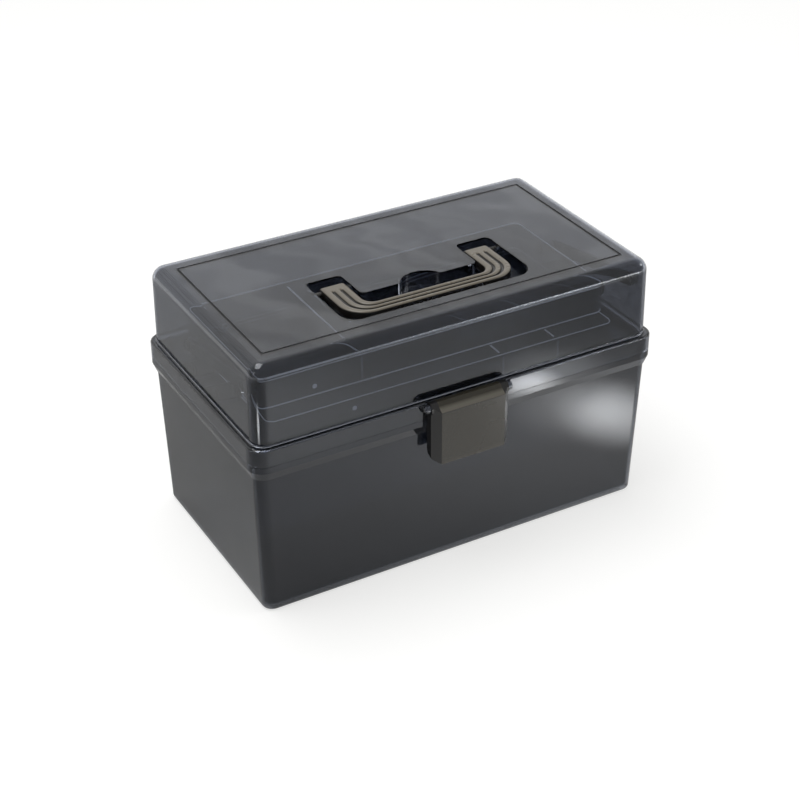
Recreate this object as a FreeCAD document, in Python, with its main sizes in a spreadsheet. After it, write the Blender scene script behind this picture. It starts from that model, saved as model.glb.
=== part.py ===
import FreeCAD, Part
import math
import os
import Sketcher
from FreeCAD import Placement, Rotation, Vector

# Lidded storage case with a fold-out pair of trays.
# Row frame: +X along the case, -Y is the front with the latch, +Z up.
# The origin is the middle of the base's underside. All lengths are millimetres.

doc = FreeCAD.newDocument("StorageCase")

# Driving dimensions
# Each entry is a name, a plain number and what it measures.
SIZES = [
    ("case_length", 308.0, "outside length over the rim"),
    ("case_depth", 174.0, "outside depth over the rim"),
    ("rim_overhang", 2.7, "rim face beyond the top of the base wall"),
    ("base_draft", 3.2, "how far the foot is drawn in on each side"),
    ("base_wall", 2.4, "wall of the base"),
    ("base_floor", 3.0, "floor of the base"),
    ("base_corner", 8.0, "radius of the base's upright corners"),
    ("base_foot_round", 3.5, "radius round the foot of the base"),
    ("base_inner_round", 3.0, "radius round the floor inside"),
    ("parting_level", 118.0, "top of the base's rim lip"),
    ("rim_depth", 10.7, "rim lip from its top down to the wall"),
    ("rim_bevel_depth", 6.3, "height of the bevel under the lip"),
    ("rim_bevel_width", 2.4, "width of the bevel under the lip"),
    ("rim_corner", 11.0, "radius of the rim's upright corners"),
    ("upstand", 8.0, "base wall standing up inside the lid's skirt"),
    ("lid_gap", 0.2, "gap between the lid's skirt and the rim lip"),
    ("skirt_depth", 13.0, "skirt of the lid from the parting up"),
    ("skirt_wall", 2.0, "wall of the skirt and its shelf"),
    ("skirt_round", 1.8, "radius along the top edge of the skirt"),
    ("dome_inset", 3.6, "dome wall in from the skirt's face"),
    ("dome_draft", 0.6, "how far the dome is drawn in at its top"),
    ("dome_height", 56.5, "dome from the skirt's top to the lid's top"),
    ("dome_wall", 2.0, "wall of the dome"),
    ("dome_corner", 10.0, "radius of the dome's upright corners"),
    ("dome_top_round", 9.0, "radius round the dome's top edge"),
    ("dome_foot_round", 1.2, "fillet where the dome meets the skirt"),
    ("panel_length", 271.0, "fine groove round the top panel, along X"),
    ("panel_depth", 132.0, "fine groove round the top panel, along Y"),
    ("panel_groove_width", 0.8, "width of the fine groove"),
    ("panel_groove_depth", 0.5, "depth of the fine groove"),
    ("panel_corner", 3.0, "corner radius of the fine groove"),
    ("handle_length", 129.0, "handle over its two legs"),
    ("handle_reach", 47.5, "handle from its leg ends to the grip's front"),
    ("handle_back", 4.0, "leg ends forward of the middle of the lid"),
    ("leg_width", 18.0, "width of a handle leg"),
    ("grip_width", 12.0, "width of the grip between the legs"),
    ("handle_thickness", 7.0, "thickness of the handle"),
    ("handle_sink", 0.5, "top of the handle below the lid"),
    ("handle_eye", 4.0, "radius of the leg's eye"),
    ("handle_outer_round", 19.0, "outer radius of the handle's bends"),
    ("handle_inner_round", 8.0, "inner radius of the handle's bends"),
    ("handle_edge_round", 0.7, "small radius along the handle's top edges"),
    ("ridge_count", 3, "ridges side by side along the handle"),
    ("ridge_groove_width", 1.9, "groove between the handle's ridges"),
    ("ridge_groove_depth", 1.6, "depth of those grooves"),
    ("ridge_groove_start", 6.0, "plain pad left at each leg's end"),
    ("recess_depth", 10.0, "floor of the handle's recess below the lid"),
    ("recess_side_room", 6.5, "recess beyond the legs at each side"),
    ("recess_front_room", 6.0, "recess ahead of the grip"),
    ("recess_back_room", 7.0, "recess behind the leg ends"),
    ("recess_inner_room", 2.0, "recess inside each leg"),
    ("finger_room", 12.5, "finger channel behind the grip"),
    ("finger_scoop_radius", 17.3, "radius of the scoop for the fingers"),
    ("finger_scoop_bulge", 9.6, "scoop behind the finger channel"),
    ("recess_outer_round", 12.0, "front corners of the recess"),
    ("recess_inner_round", 4.0, "other corners of the recess"),
    ("pin_radius", 2.0, "radius of the plain pins"),
    ("pin_clearance", 0.08, "running clearance round a pin"),
    ("handle_pin_bite", 1.5, "handle pin beyond each pocket wall's face"),
    ("latch_width", 59.0, "latch over its barrel"),
    ("latch_axis_out", 2.2, "latch axis ahead of the skirt's face"),
    ("latch_axis_drop", 3.6, "latch axis below the skirt's top"),
    ("latch_barrel", 4.6, "radius of the latch's barrel"),
    ("latch_projection", 10.6, "front face of the latch ahead of the rim"),
    ("latch_plate_drop", 4.4, "top of the front plate below the skirt's top"),
    ("latch_plate_height", 39.5, "height of the front plate"),
    ("latch_heel_drop", 37.0, "foot of the cheeks below the skirt's top"),
    ("latch_cheek_bevel", 5.25, "depth of the bevel round the front face"),
    ("latch_catch_height", 4.0, "root of the rib that catches the rim"),
    ("latch_gap", 0.3, "latch clear of the rim's face"),
    ("latch_wall", 2.4, "wall of the latch"),
    ("latch_pin_radius", 1.6, "radius of the latch pin"),
    ("latch_ear", 3.0, "width of each ear beside the latch"),
    ("latch_ear_radius", 3.4, "radius of each ear"),
    ("latch_notch_clearance", 0.5, "notch in the skirt round the barrel"),
    ("hinge_out", 4.0, "hinge axis behind the rim's face"),
    ("hinge_barrel", 3.5, "radius of the hinge knuckles"),
    ("hinge_pin_radius", 1.5, "radius of the hinge pins"),
    ("hinge_spread", 170.0, "distance between the two hinges' middles"),
    ("knuckle_length", 12.0, "length of one hinge knuckle"),
    ("knuckle_gap", 0.4, "gap between neighbouring knuckles"),
    ("hinge_web_depth", 9.0, "web under a base knuckle"),
    ("hinge_web_lift", 6.0, "web above a lid knuckle"),
    ("tray_end_room", 5.0, "trays' ends inside the arms' inner faces"),
    ("lower_tray_front_room", 22.4, "lower tray's front behind the rim's front face"),
    ("lower_tray_back_room", 29.0, "lower tray's back ahead of the rim's back face"),
    ("lower_tray_drop", 7.0, "underside of the lower tray below the parting"),
    ("lower_tray_height", 24.4, "height of the lower tray"),
    ("tray_stack_gap", 0.8, "gap between the stacked trays"),
    ("upper_tray_front_room", 35.0, "upper tray's front behind the rim's front face"),
    ("upper_tray_back_room", 27.0, "upper tray's back ahead of the rim's back face"),
    ("upper_tray_height", 22.0, "height of the upper tray"),
    ("tray_wall", 1.8, "wall and floor of the trays"),
    ("tray_corner", 6.0, "radius of the trays' upright corners"),
    ("tray_foot_round", 2.0, "radius round the trays' undersides"),
    ("divider_thickness", 1.6, "thickness of a loose divider"),
    ("divider_clearance", 0.25, "play of a divider in its guides"),
    ("divider_drop", 2.0, "top of a divider below the tray's edge"),
    ("guide_width", 1.2, "one rib of a divider's guide"),
    ("guide_reach", 2.0, "how far a guide rib stands off the wall"),
    ("lower_divider_first", 43.5, "first divider of the lower tray from the middle"),
    ("lower_divider_second", 87.8, "second divider of the lower tray from the middle"),
    ("upper_divider_place", 58.0, "divider of the upper tray, left of the middle"),
    ("arm_tip_room", 15.99, "upper end of the front arms behind the upper tray's front"),
    ("lower_pivot_height", 18.19, "arm pivots above the lower tray's underside"),
    ("upper_pivot_height", 11.8, "arm pivots above the upper tray's underside"),
    ("arm_width", 11.0, "width of an arm"),
    ("arm_thickness", 2.5, "thickness of an arm"),
    ("arm_inset", 16.0, "inner face of the arms inside the rim's end face"),
    ("rear_arm_room", 18.8, "base pivot of the rear arms ahead of the rim's back face"),
    ("arm_spacing", 36.0, "rear arms' pivots behind the front arms'"),
    ("arm_pivot_drop", 11.8, "base pivots below the parting"),
    ("pivot_boss", 4.4, "radius of the pivot bosses"),
    ("pivot_gap", 0.3, "side play between an arm and its boss or head"),
    ("head_radius", 3.6, "radius of a pivot pin's head"),
    ("head_thickness", 1.2, "thickness of a pivot pin's head"),
    ("pin_bite", 4.0, "how deep a pivot pin sits in its boss"),
    ("link_inset", 11.0, "inner face of the lid links inside the rim's end face"),
    ("link_width", 9.0, "width of a lid link"),
    ("link_thickness", 2.2, "thickness of a lid link"),
    ("link_slack", 0.6, "clearance of the link's open pivot"),
    ("link_lid_room", 22.0, "link pivot on the lid behind the rim's front face"),
    ("link_lid_lift", 48.4, "link pivot on the lid above the parting"),
    ("link_tray_share", 0.451758, "link pivot on the way from the rear arm's upper end to the tray's back"),
    ("link_tray_height", 14.5, "link pivot above the upper tray's underside"),
]

# Sizes that follow others
# Each entry is a name, a formula in the names above it and what it measures.
FOLLOWING_SIZES = [
    ("arm_plane", "case_length / 2 - arm_inset", "inner face of the arms from the middle"),
    ("link_plane", "case_length / 2 - link_inset", "inner face of the lid links from the middle"),
    ("latch_plate_width", "latch_width - 2 * latch_cheek_bevel", "flat front face of the latch"),
    ("lower_tray_length", "2 * (arm_plane - tray_end_room)", "lower tray along X"),
    ("lower_tray_front", "case_depth / 2 - lower_tray_front_room", "lower tray ahead of the middle"),
    ("lower_tray_back", "case_depth / 2 - lower_tray_back_room", "lower tray behind the middle"),
    ("lower_tray_level", "parting_level - lower_tray_drop", "underside of the lower tray"),
    ("lower_tray_top", "lower_tray_level + lower_tray_height", "top of the lower tray"),
    ("upper_tray_length", "2 * (arm_plane - tray_end_room)", "upper tray along X"),
    ("upper_tray_front", "case_depth / 2 - upper_tray_front_room", "upper tray ahead of the middle"),
    ("upper_tray_back", "case_depth / 2 - upper_tray_back_room", "upper tray behind the middle"),
    ("upper_tray_level", "lower_tray_top + tray_stack_gap", "underside of the upper tray"),
    ("front_arm_back", "case_depth / 2 - rear_arm_room - arm_spacing", "base pivot of the front arms"),
    ("arm_pivot_level", "parting_level - arm_pivot_drop", "base pivots above the foot"),
    ("arm_run", "front_arm_back + upper_tray_front - arm_tip_room", "arm from end to end along Y"),
    ("arm_rise", "upper_tray_level + upper_pivot_height - arm_pivot_level", "arm from end to end along Z"),
    ("middle_rise", "lower_tray_level + lower_pivot_height - arm_pivot_level", "its middle pivot along Z"),
    ("arm_length", "sqrt(arm_run ^ 2 + arm_rise ^ 2)", "arm between its base pivot and the upper tray's"),
    ("arm_middle", "arm_length * middle_rise / arm_rise", "arm between its base pivot and the lower tray's"),
    ("arm_slope", "atan(arm_rise / arm_run)", "arms above the level when the case is shut"),
    ("link_lid_forward", "case_depth / 2 - link_lid_room", "link pivot on the lid ahead of the middle"),
    ("link_lid_level", "parting_level + link_lid_lift", "link pivot on the lid above the foot"),
    ("rear_arm_tip", "front_arm_back + arm_spacing - arm_run", "upper end of the rear arms from the middle"),
    ("rear_tip_room", "upper_tray_back - rear_arm_tip", "tray's back behind that end"),
    ("link_tray_back", "rear_arm_tip + link_tray_share * rear_tip_room", "link pivot on the upper tray"),
    ("link_tray_level", "upper_tray_level + link_tray_height", "its level above the foot"),
]

sheet = doc.addObject("Spreadsheet::Sheet", "Sizes")
written = [(name, str(number), meaning) for name, number, meaning in SIZES]
written += [(name, "=" + formula, meaning) for name, formula, meaning in FOLLOWING_SIZES]
for row, (name, content, meaning) in enumerate(written, 1):
    sheet.set("A%d" % row, meaning)
    sheet.set("B%d" % row, content)
    sheet.setAlias("B%d" % row, name)
    doc.recompute()

# Places worked out from the driving dimensions
# Each is an expression that every bound size and place below is made of.


def size(name):
    return "Sizes." + name


def value(expression):
    worked = sheet.evalExpression(str(expression))
    return float(getattr(worked, "Value", worked))


def less(first, second):
    return "(%s - (%s))" % (first, second)


def plus(*terms):
    return "(" + " + ".join(terms) + ")"


def minus(term):
    return "(-(%s))" % term


def half(term):
    return "((%s) / 2)" % term


RIM_X = half(size("case_length"))
RIM_Y = half(size("case_depth"))
WALL_X = less(RIM_X, size("rim_overhang"))
WALL_Y = less(RIM_Y, size("rim_overhang"))
FOOT_X = less(WALL_X, size("base_draft"))
FOOT_Y = less(WALL_Y, size("base_draft"))
BASE_TOP = plus(size("parting_level"), size("upstand"))
RIM_FOOT = less(size("parting_level"), size("rim_depth"))
SKIRT_FOOT = plus(size("parting_level"), size("lid_gap"))
SKIRT_TOP = plus(size("parting_level"), size("skirt_depth"))
SHELF = less(SKIRT_TOP, size("skirt_wall"))
DOME_X = less(RIM_X, size("dome_inset"))
DOME_Y = less(RIM_Y, size("dome_inset"))
LID_TOP = plus(SKIRT_TOP, size("dome_height"))
LID_CEILING = less(LID_TOP, size("dome_wall"))
LEG_X = half(size("handle_length"))
LEG_INNER_X = less(LEG_X, size("leg_width"))
HANDLE_BACK = minus(size("handle_back"))
HANDLE_FRONT = less(HANDLE_BACK, size("handle_reach"))
GRIP_BACK = plus(HANDLE_FRONT, size("grip_width"))
HANDLE_TOP = less(LID_TOP, size("handle_sink"))
HANDLE_FOOT = less(HANDLE_TOP, size("handle_thickness"))
HANDLE_AXIS_Y = less(HANDLE_BACK, size("handle_eye"))
HANDLE_AXIS_Z = less(HANDLE_TOP, size("handle_eye"))
RECESS_X = plus(LEG_X, size("recess_side_room"))
RECESS_INNER_X = less(LEG_INNER_X, size("recess_inner_room"))
RECESS_FRONT = less(HANDLE_FRONT, size("recess_front_room"))
RECESS_BACK = plus(HANDLE_BACK, size("recess_back_room"))
CHANNEL_BACK = plus(GRIP_BACK, size("finger_room"))
RECESS_FLOOR = less(LID_TOP, size("recess_depth"))
SCOOP_Y = less(plus(CHANNEL_BACK, size("finger_scoop_bulge")), size("finger_scoop_radius"))
LATCH_AXIS_Y = minus(plus(RIM_Y, size("latch_axis_out")))
LATCH_AXIS_Z = less(SKIRT_TOP, size("latch_axis_drop"))
LATCH_FRONT = minus(plus(RIM_Y, size("latch_projection")))
LATCH_REAR = minus(plus(RIM_Y, size("latch_gap")))
PLATE_TOP = less(SKIRT_TOP, size("latch_plate_drop"))
PLATE_FOOT = less(PLATE_TOP, size("latch_plate_height"))
HEEL_FOOT = less(SKIRT_TOP, size("latch_heel_drop"))
HINGE_Y = plus(RIM_Y, size("hinge_out"))
HINGE_Z = size("parting_level")
PIN_HOLE = plus(size("pin_radius"), size("pin_clearance"))
ARM_OUTER = plus(size("arm_plane"), size("arm_thickness"))
LINK_OUTER = plus(size("link_plane"), size("link_thickness"))
FRONT_ARM_Y = size("front_arm_back")
REAR_ARM_Y = plus(size("front_arm_back"), size("arm_spacing"))
ARM_Z = size("arm_pivot_level")


def along_arm(distance):
    """Steps in Y and Z from a base pivot to a point that far up the arm."""
    step_y = "(-(%s) * cos(%s))" % (distance, size("arm_slope"))
    step_z = "((%s) * sin(%s))" % (distance, size("arm_slope"))
    return step_y, step_z


MIDDLE_STEP = along_arm(size("arm_middle"))
TIP_STEP = along_arm(size("arm_length"))
ARM_BASES = {"front": FRONT_ARM_Y, "rear": REAR_ARM_Y}
RIDGES = int(value(size("ridge_count")))
CLOSE = 0.01
SIDES = {"left": -1, "right": 1}


# Ways of drawing and cutting shared by the sub-parts


def new_body(label):
    body = doc.addObject("PartDesign::Body", label)
    body.Label = label
    return body


def new_sketch(body, name, role, distance="0"):
    """A sketch on one of the body's origin planes, moved along its normal."""
    sketch = body.newObject("Sketcher::SketchObject", name)
    planes = [item for item in body.Origin.OriginFeatures if item.Role == role]
    sketch.AttachmentSupport = [(planes[0], "")]
    sketch.MapMode = "FlatFace"
    sketch.setExpression("AttachmentOffset.Base.z", distance)
    return sketch


def drive(sketch, kind, geometry, point, expression):
    """Tie a point's distance from the sketch's origin to an expression."""
    index = sketch.addConstraint(Sketcher.Constraint(kind, -1, 1, geometry, point, value(expression)))
    sketch.setExpression("Constraints[%d]" % index, expression)


def towards(start, end):
    """Unit direction between two points given as expressions."""
    step = Vector(value(end[0]) - value(start[0]), value(end[1]) - value(start[1]), 0)
    return step.normalize()


def corner_arc(sketch, before, corner, after):
    """The arc that rounds a square corner, and the ends that its lines join."""
    x, y, radius = corner
    back = towards(corner, before)
    onward = towards(corner, after)
    middle = back + onward
    centre_x = plus(x, "%d * (%s)" % (round(middle.x), radius))
    centre_y = plus(y, "%d * (%s)" % (round(middle.y), radius))
    centre = Vector(value(centre_x), value(centre_y), 0)
    start = math.atan2(-onward.y, -onward.x)
    end = math.atan2(-back.y, -back.x)
    turns_left = back.cross(onward).z < 0
    if not turns_left:
        start, end = end, start
    if end < start:
        end += 2 * math.pi
    circle = Part.Circle(centre, Vector(0, 0, 1), value(radius))
    arc = sketch.addGeometry(Part.ArcOfCircle(circle, start, end), False)
    drive(sketch, "DistanceX", arc, 3, centre_x)
    drive(sketch, "DistanceY", arc, 3, centre_y)
    index = sketch.addConstraint(Sketcher.Constraint("Radius", arc, value(radius)))
    sketch.setExpression("Constraints[%d]" % index, radius)
    return (arc, 1, 2) if turns_left else (arc, 2, 1)


def draw_outline(sketch, corners):
    """A closed outline whose corners are expressions for X, Y and maybe a radius.

    The corners run anticlockwise. A corner with a radius has square sides.
    """
    total = len(corners)
    lines = []
    for number, corner in enumerate(corners):
        following = corners[(number + 1) % total]
        along = towards(corner, following)
        start = Vector(value(corner[0]), value(corner[1]), 0)
        end = Vector(value(following[0]), value(following[1]), 0)
        if len(corner) == 3:
            start += along * value(corner[2])
        if len(following) == 3:
            end -= along * value(following[2])
        lines.append(sketch.addGeometry(Part.LineSegment(start, end), False))
    for number, corner in enumerate(corners):
        before = lines[number - 1]
        after = lines[number]
        if len(corner) == 3:
            arc, near, far = corner_arc(sketch, corners[number - 1], corner, corners[(number + 1) % total])
            sketch.addConstraint(Sketcher.Constraint("Tangent", before, 2, arc, near))
            sketch.addConstraint(Sketcher.Constraint("Tangent", arc, far, after, 1))
        else:
            sketch.addConstraint(Sketcher.Constraint("Coincident", before, 2, after, 1))
            drive(sketch, "DistanceX", after, 1, corner[0])
            drive(sketch, "DistanceY", after, 1, corner[1])


def draw_rectangle(sketch, left, right, low, high, radius=None):
    corners = [(left, low), (right, low), (right, high), (left, high)]
    if radius:
        corners = [corner + (radius,) for corner in corners]
    draw_outline(sketch, corners)


def draw_circle(sketch, x, y, radius):
    centre = Vector(value(x), value(y), 0)
    circle = sketch.addGeometry(Part.Circle(centre, Vector(0, 0, 1), value(radius)), False)
    drive(sketch, "DistanceX", circle, 3, x)
    drive(sketch, "DistanceY", circle, 3, y)
    index = sketch.addConstraint(Sketcher.Constraint("Radius", circle, value(radius)))
    sketch.setExpression("Constraints[%d]" % index, radius)


def draw_slot(sketch, length, radius):
    """A bar with round ends, from the sketch's origin towards its negative X."""
    reach = value(length)
    around = value(radius)
    normal = Vector(0, 0, 1)
    near = Part.Circle(Vector(0, 0, 0), normal, around)
    far = Part.Circle(Vector(-reach, 0, 0), normal, around)
    quarter = math.pi / 2
    near_arc = sketch.addGeometry(Part.ArcOfCircle(near, -quarter, quarter), False)
    far_arc = sketch.addGeometry(Part.ArcOfCircle(far, quarter, 3 * quarter), False)
    top = sketch.addGeometry(Part.LineSegment(Vector(0, around, 0), Vector(-reach, around, 0)), False)
    foot = sketch.addGeometry(Part.LineSegment(Vector(-reach, -around, 0), Vector(0, -around, 0)), False)
    for first, first_end, second, second_end in (
        (near_arc, 2, top, 1),
        (top, 2, far_arc, 1),
        (far_arc, 2, foot, 1),
        (foot, 2, near_arc, 1),
    ):
        sketch.addConstraint(Sketcher.Constraint("Tangent", first, first_end, second, second_end))
    drive(sketch, "DistanceX", near_arc, 3, "0")
    drive(sketch, "DistanceY", near_arc, 3, "0")
    drive(sketch, "DistanceX", far_arc, 3, minus(length))
    sketch.addConstraint(Sketcher.Constraint("Horizontal", top))
    index = sketch.addConstraint(Sketcher.Constraint("Radius", near_arc, around))
    sketch.setExpression("Constraints[%d]" % index, radius)


def raise_sketch(body, kind, sketch, length, backwards=False):
    """A pad or a pocket of the sketch, along its normal or against it."""
    feature = body.newObject(kind, sketch.Name + "_" + kind.split("::")[1])
    feature.Profile = sketch
    feature.setExpression("Length", length)
    feature.Reversed = backwards
    sketch.Visibility = False
    doc.recompute()
    return feature


def pad(body, sketch, length):
    return raise_sketch(body, "PartDesign::Pad", sketch, length)


def pocket_up(body, sketch, length):
    """Cut along the sketch's normal. A pocket cuts against it unless reversed."""
    return raise_sketch(body, "PartDesign::Pocket", sketch, length, backwards=True)


def drafted_block(body, name, low_level, low, high_level, high):
    """A block with sloping sides between two rectangles given by half sizes."""
    block = body.newObject("PartDesign::AdditiveWedge", name)
    planes = [item for item in body.Origin.OriginFeatures if item.Role == "XY_Plane"]
    block.AttachmentSupport = [(planes[0], "")]
    block.MapMode = "FlatFace"
    upright = Rotation(Vector(0, 1, 0), Vector(0, 0, 1))
    block.AttachmentOffset = Placement(Vector(0, 0, 0), upright)
    spans = {
        "Ymin": low_level,
        "Ymax": high_level,
        "Xmin": minus(low[0]),
        "Xmax": low[0],
        "Zmin": minus(low[1]),
        "Zmax": low[1],
        "X2min": minus(high[0]),
        "X2max": high[0],
        "Z2min": minus(high[1]),
        "Z2max": high[1],
    }
    for span, expression in spans.items():
        block.setExpression(span, expression)
    doc.recompute()
    return block


def edge_names(feature, test):
    edges = feature.Shape.Edges
    return ["Edge%d" % number for number, edge in enumerate(edges, 1) if test(edge)]


def is_upright(edge):
    box = edge.BoundBox
    return box.ZLength > max(box.XLength, box.YLength)


def lies_at(edge, level):
    box = edge.BoundBox
    return abs(box.ZMin - level) < CLOSE and abs(box.ZMax - level) < CLOSE


def reaches(edge, half_x, half_y):
    """True for an edge on the outline of that half length or half depth."""
    box = edge.BoundBox
    far_x = max(abs(box.XMin), abs(box.XMax))
    far_y = max(abs(box.YMin), abs(box.YMax))
    return far_x > half_x - CLOSE or far_y > half_y - CLOSE


def round_edges(body, name, feature, test, radius):
    fillet = body.newObject("PartDesign::Fillet", name)
    fillet.Base = (feature, edge_names(feature, test))
    fillet.setExpression("Radius", radius)
    doc.recompute()
    return fillet


def hollow_block(label, low_level, low, high_level, high, corner):
    """The space inside a drafted wall, as a body of its own with round corners."""
    hollow = new_body(label)
    block = drafted_block(hollow, label + "_block", low_level, low, high_level, high)
    round_edges(hollow, label + "_corners", block, is_upright, corner)
    return hollow


def cut_hollow(body, hollow):
    cut = body.newObject("PartDesign::Boolean", hollow.Label + "_cut")
    cut.Type = "Cut"
    cut.setObjects([hollow])
    doc.recompute()
    return cut


def round_pin(label, pieces):
    """Loose round pins in one node, each piece a cylinder along X.

    A piece is the place of its lower end, its length and its radius.
    """
    shafts = []
    for number, (x, y, z, length, radius) in enumerate(pieces):
        shaft = doc.addObject("Part::Cylinder", "%s_piece_%d" % (label, number))
        shaft.Placement = Placement(Vector(0, 0, 0), Rotation(Vector(0, 0, 1), Vector(1, 0, 0)))
        for axis, expression in zip("xyz", (x, y, z)):
            shaft.setExpression("Placement.Base." + axis, expression)
        shaft.setExpression("Height", length)
        shaft.setExpression("Radius", radius)
        shafts.append(shaft)
    if len(shafts) == 1:
        shafts[0].Label = label
        return shafts[0]
    group = doc.addObject("Part::MultiFuse", label)
    group.Shapes = shafts
    group.Label = label
    return group


def mirrored_span(side, near, far):
    """The lower end of a span between two distances on that side of the middle."""
    return near if SIDES[side] > 0 else minus(far)


# Base
# A deep tub drawn in towards its foot, with a lipped rim, an upstand that the
# lid's skirt closes over, hinge knuckles behind and bosses for the tray arms.


def wall_at(foot, top, level):
    """Half size of the drafted wall at a level between the foot and the top."""
    return "(%s + (%s - (%s)) * (%s) / (%s))" % (foot, top, foot, level, BASE_TOP)


def hinge_stations():
    return [minus(half(size("hinge_spread"))), half(size("hinge_spread"))]


def pad_knuckle(body, name, start, web):
    """One hinge knuckle: a barrel on the hinge axis and the web that carries it."""
    barrel = new_sketch(body, name + "_barrel", "YZ_Plane", start)
    draw_circle(barrel, HINGE_Y, HINGE_Z, size("hinge_barrel"))
    pad(body, barrel, size("knuckle_length"))
    plate = new_sketch(body, name + "_web", "YZ_Plane", start)
    draw_outline(plate, web)
    return pad(body, plate, size("knuckle_length"))


def bore_along_x(body, name, y, z, radius, start, length):
    sketch = new_sketch(body, name, "YZ_Plane", start)
    draw_circle(sketch, y, z, radius)
    return pocket_up(body, sketch, length)


def bosses(body, name, places, near, far, radius):
    """Round bosses on both end walls, between two distances from the middle."""
    for side in SIDES:
        start = mirrored_span(side, near, far)
        sketch = new_sketch(body, "%s_%s" % (name, side), "YZ_Plane", start)
        for y, z in places:
            draw_circle(sketch, y, z, radius)
        feature = pad(body, sketch, less(far, near))
    return feature


def blind_holes(body, name, places, near, far, radius):
    """The same places bored between two distances from the middle."""
    for side in SIDES:
        start = mirrored_span(side, near, far)
        sketch = new_sketch(body, "%s_%s" % (name, side), "YZ_Plane", start)
        for y, z in places:
            draw_circle(sketch, y, z, radius)
        feature = pocket_up(body, sketch, less(far, near))
    return feature


def make_base():
    body = new_body("base_shell")
    tub = drafted_block(body, "tub", "0", (FOOT_X, FOOT_Y), BASE_TOP, (WALL_X, WALL_Y))
    tub = round_edges(body, "tub_corners", tub, is_upright, size("base_corner"))
    round_edges(body, "tub_foot", tub, lambda edge: lies_at(edge, 0), size("base_foot_round"))

    lip = new_sketch(body, "rim_outline", "XY_Plane", RIM_FOOT)
    draw_rectangle(lip, minus(RIM_X), RIM_X, minus(RIM_Y), RIM_Y, size("rim_corner"))
    rim = pad(body, lip, size("rim_depth"))
    under = value(RIM_FOOT)
    beyond_wall_x = value(WALL_X) + CLOSE
    beyond_wall_y = value(WALL_Y) + CLOSE
    bevel = body.newObject("PartDesign::Chamfer", "rim_bevel")
    outer_edges = edge_names(
        rim, lambda edge: lies_at(edge, under) and reaches(edge, beyond_wall_x, beyond_wall_y))
    bevel.Base = (rim, outer_edges)
    bevel.ChamferType = "Two distances"
    bevel.setExpression("Size", size("rim_bevel_width"))
    bevel.setExpression("Size2", size("rim_bevel_depth"))
    doc.recompute()

    floor = size("base_floor")
    inner_low = [less(wall_at(foot, top, floor), size("base_wall"))
                 for foot, top in ((FOOT_X, WALL_X), (FOOT_Y, WALL_Y))]
    inner_high = (less(WALL_X, size("base_wall")), less(WALL_Y, size("base_wall")))
    corner = less(size("base_corner"), size("base_wall"))
    hollow = hollow_block("base_hollow", floor, inner_low, BASE_TOP, inner_high, corner)
    floor_level = value(floor)
    round_edges(
        hollow, "hollow_floor", hollow.Tip, lambda edge: lies_at(edge, floor_level),
        size("base_inner_round"))
    cut_hollow(body, hollow)

    web = [
        (WALL_Y, less(HINGE_Z, size("hinge_web_depth"))),
        (HINGE_Y, less(HINGE_Z, size("hinge_barrel"))),
        (HINGE_Y, HINGE_Z),
        (WALL_Y, HINGE_Z),
    ]
    for number, station in enumerate(hinge_stations()):
        reach = plus(half(size("knuckle_length")), size("knuckle_gap"))
        pad_knuckle(body, "outer_knuckle_%d" % number, plus(station, reach), web)
        pad_knuckle(
            body, "inner_knuckle_%d" % number,
            less(less(station, reach), size("knuckle_length")), web)
    bore_along_x(
        body, "hinge_bore", HINGE_Y, HINGE_Z,
        plus(size("hinge_pin_radius"), size("pin_clearance")), minus(RIM_X), size("case_length"))

    places = [(back, ARM_Z) for back in ARM_BASES.values()]
    face = plus(ARM_OUTER, size("pivot_gap"))
    bosses(body, "arm_boss", places, face, less(WALL_X, half(size("base_wall"))), size("pivot_boss"))
    blind_holes(body, "arm_bore", places, face, plus(face, size("pin_bite"), size("pivot_gap")), PIN_HOLE)
    return body


# Lid
# A clear dome on a skirt that drops over the base's upstand. A flat panel is welded
# flush into its top, with a fine groove round it and a recess for the folded handle.


def recess_outline(margin):
    """The U-shaped recess for the handle, grown by a margin."""
    side = plus(RECESS_X, margin)
    inner = less(RECESS_INNER_X, margin)
    front = less(RECESS_FRONT, margin)
    back = plus(RECESS_BACK, margin)
    channel = plus(CHANNEL_BACK, margin)
    wide = plus(size("recess_outer_round"), margin)
    tight = size("recess_inner_round")
    return [
        (minus(side), back, tight),
        (minus(side), front, wide),
        (side, front, wide),
        (side, back, tight),
        (inner, back, tight),
        (inner, channel, tight),
        (minus(inner), channel, tight),
        (minus(inner), back, tight),
    ]


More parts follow.
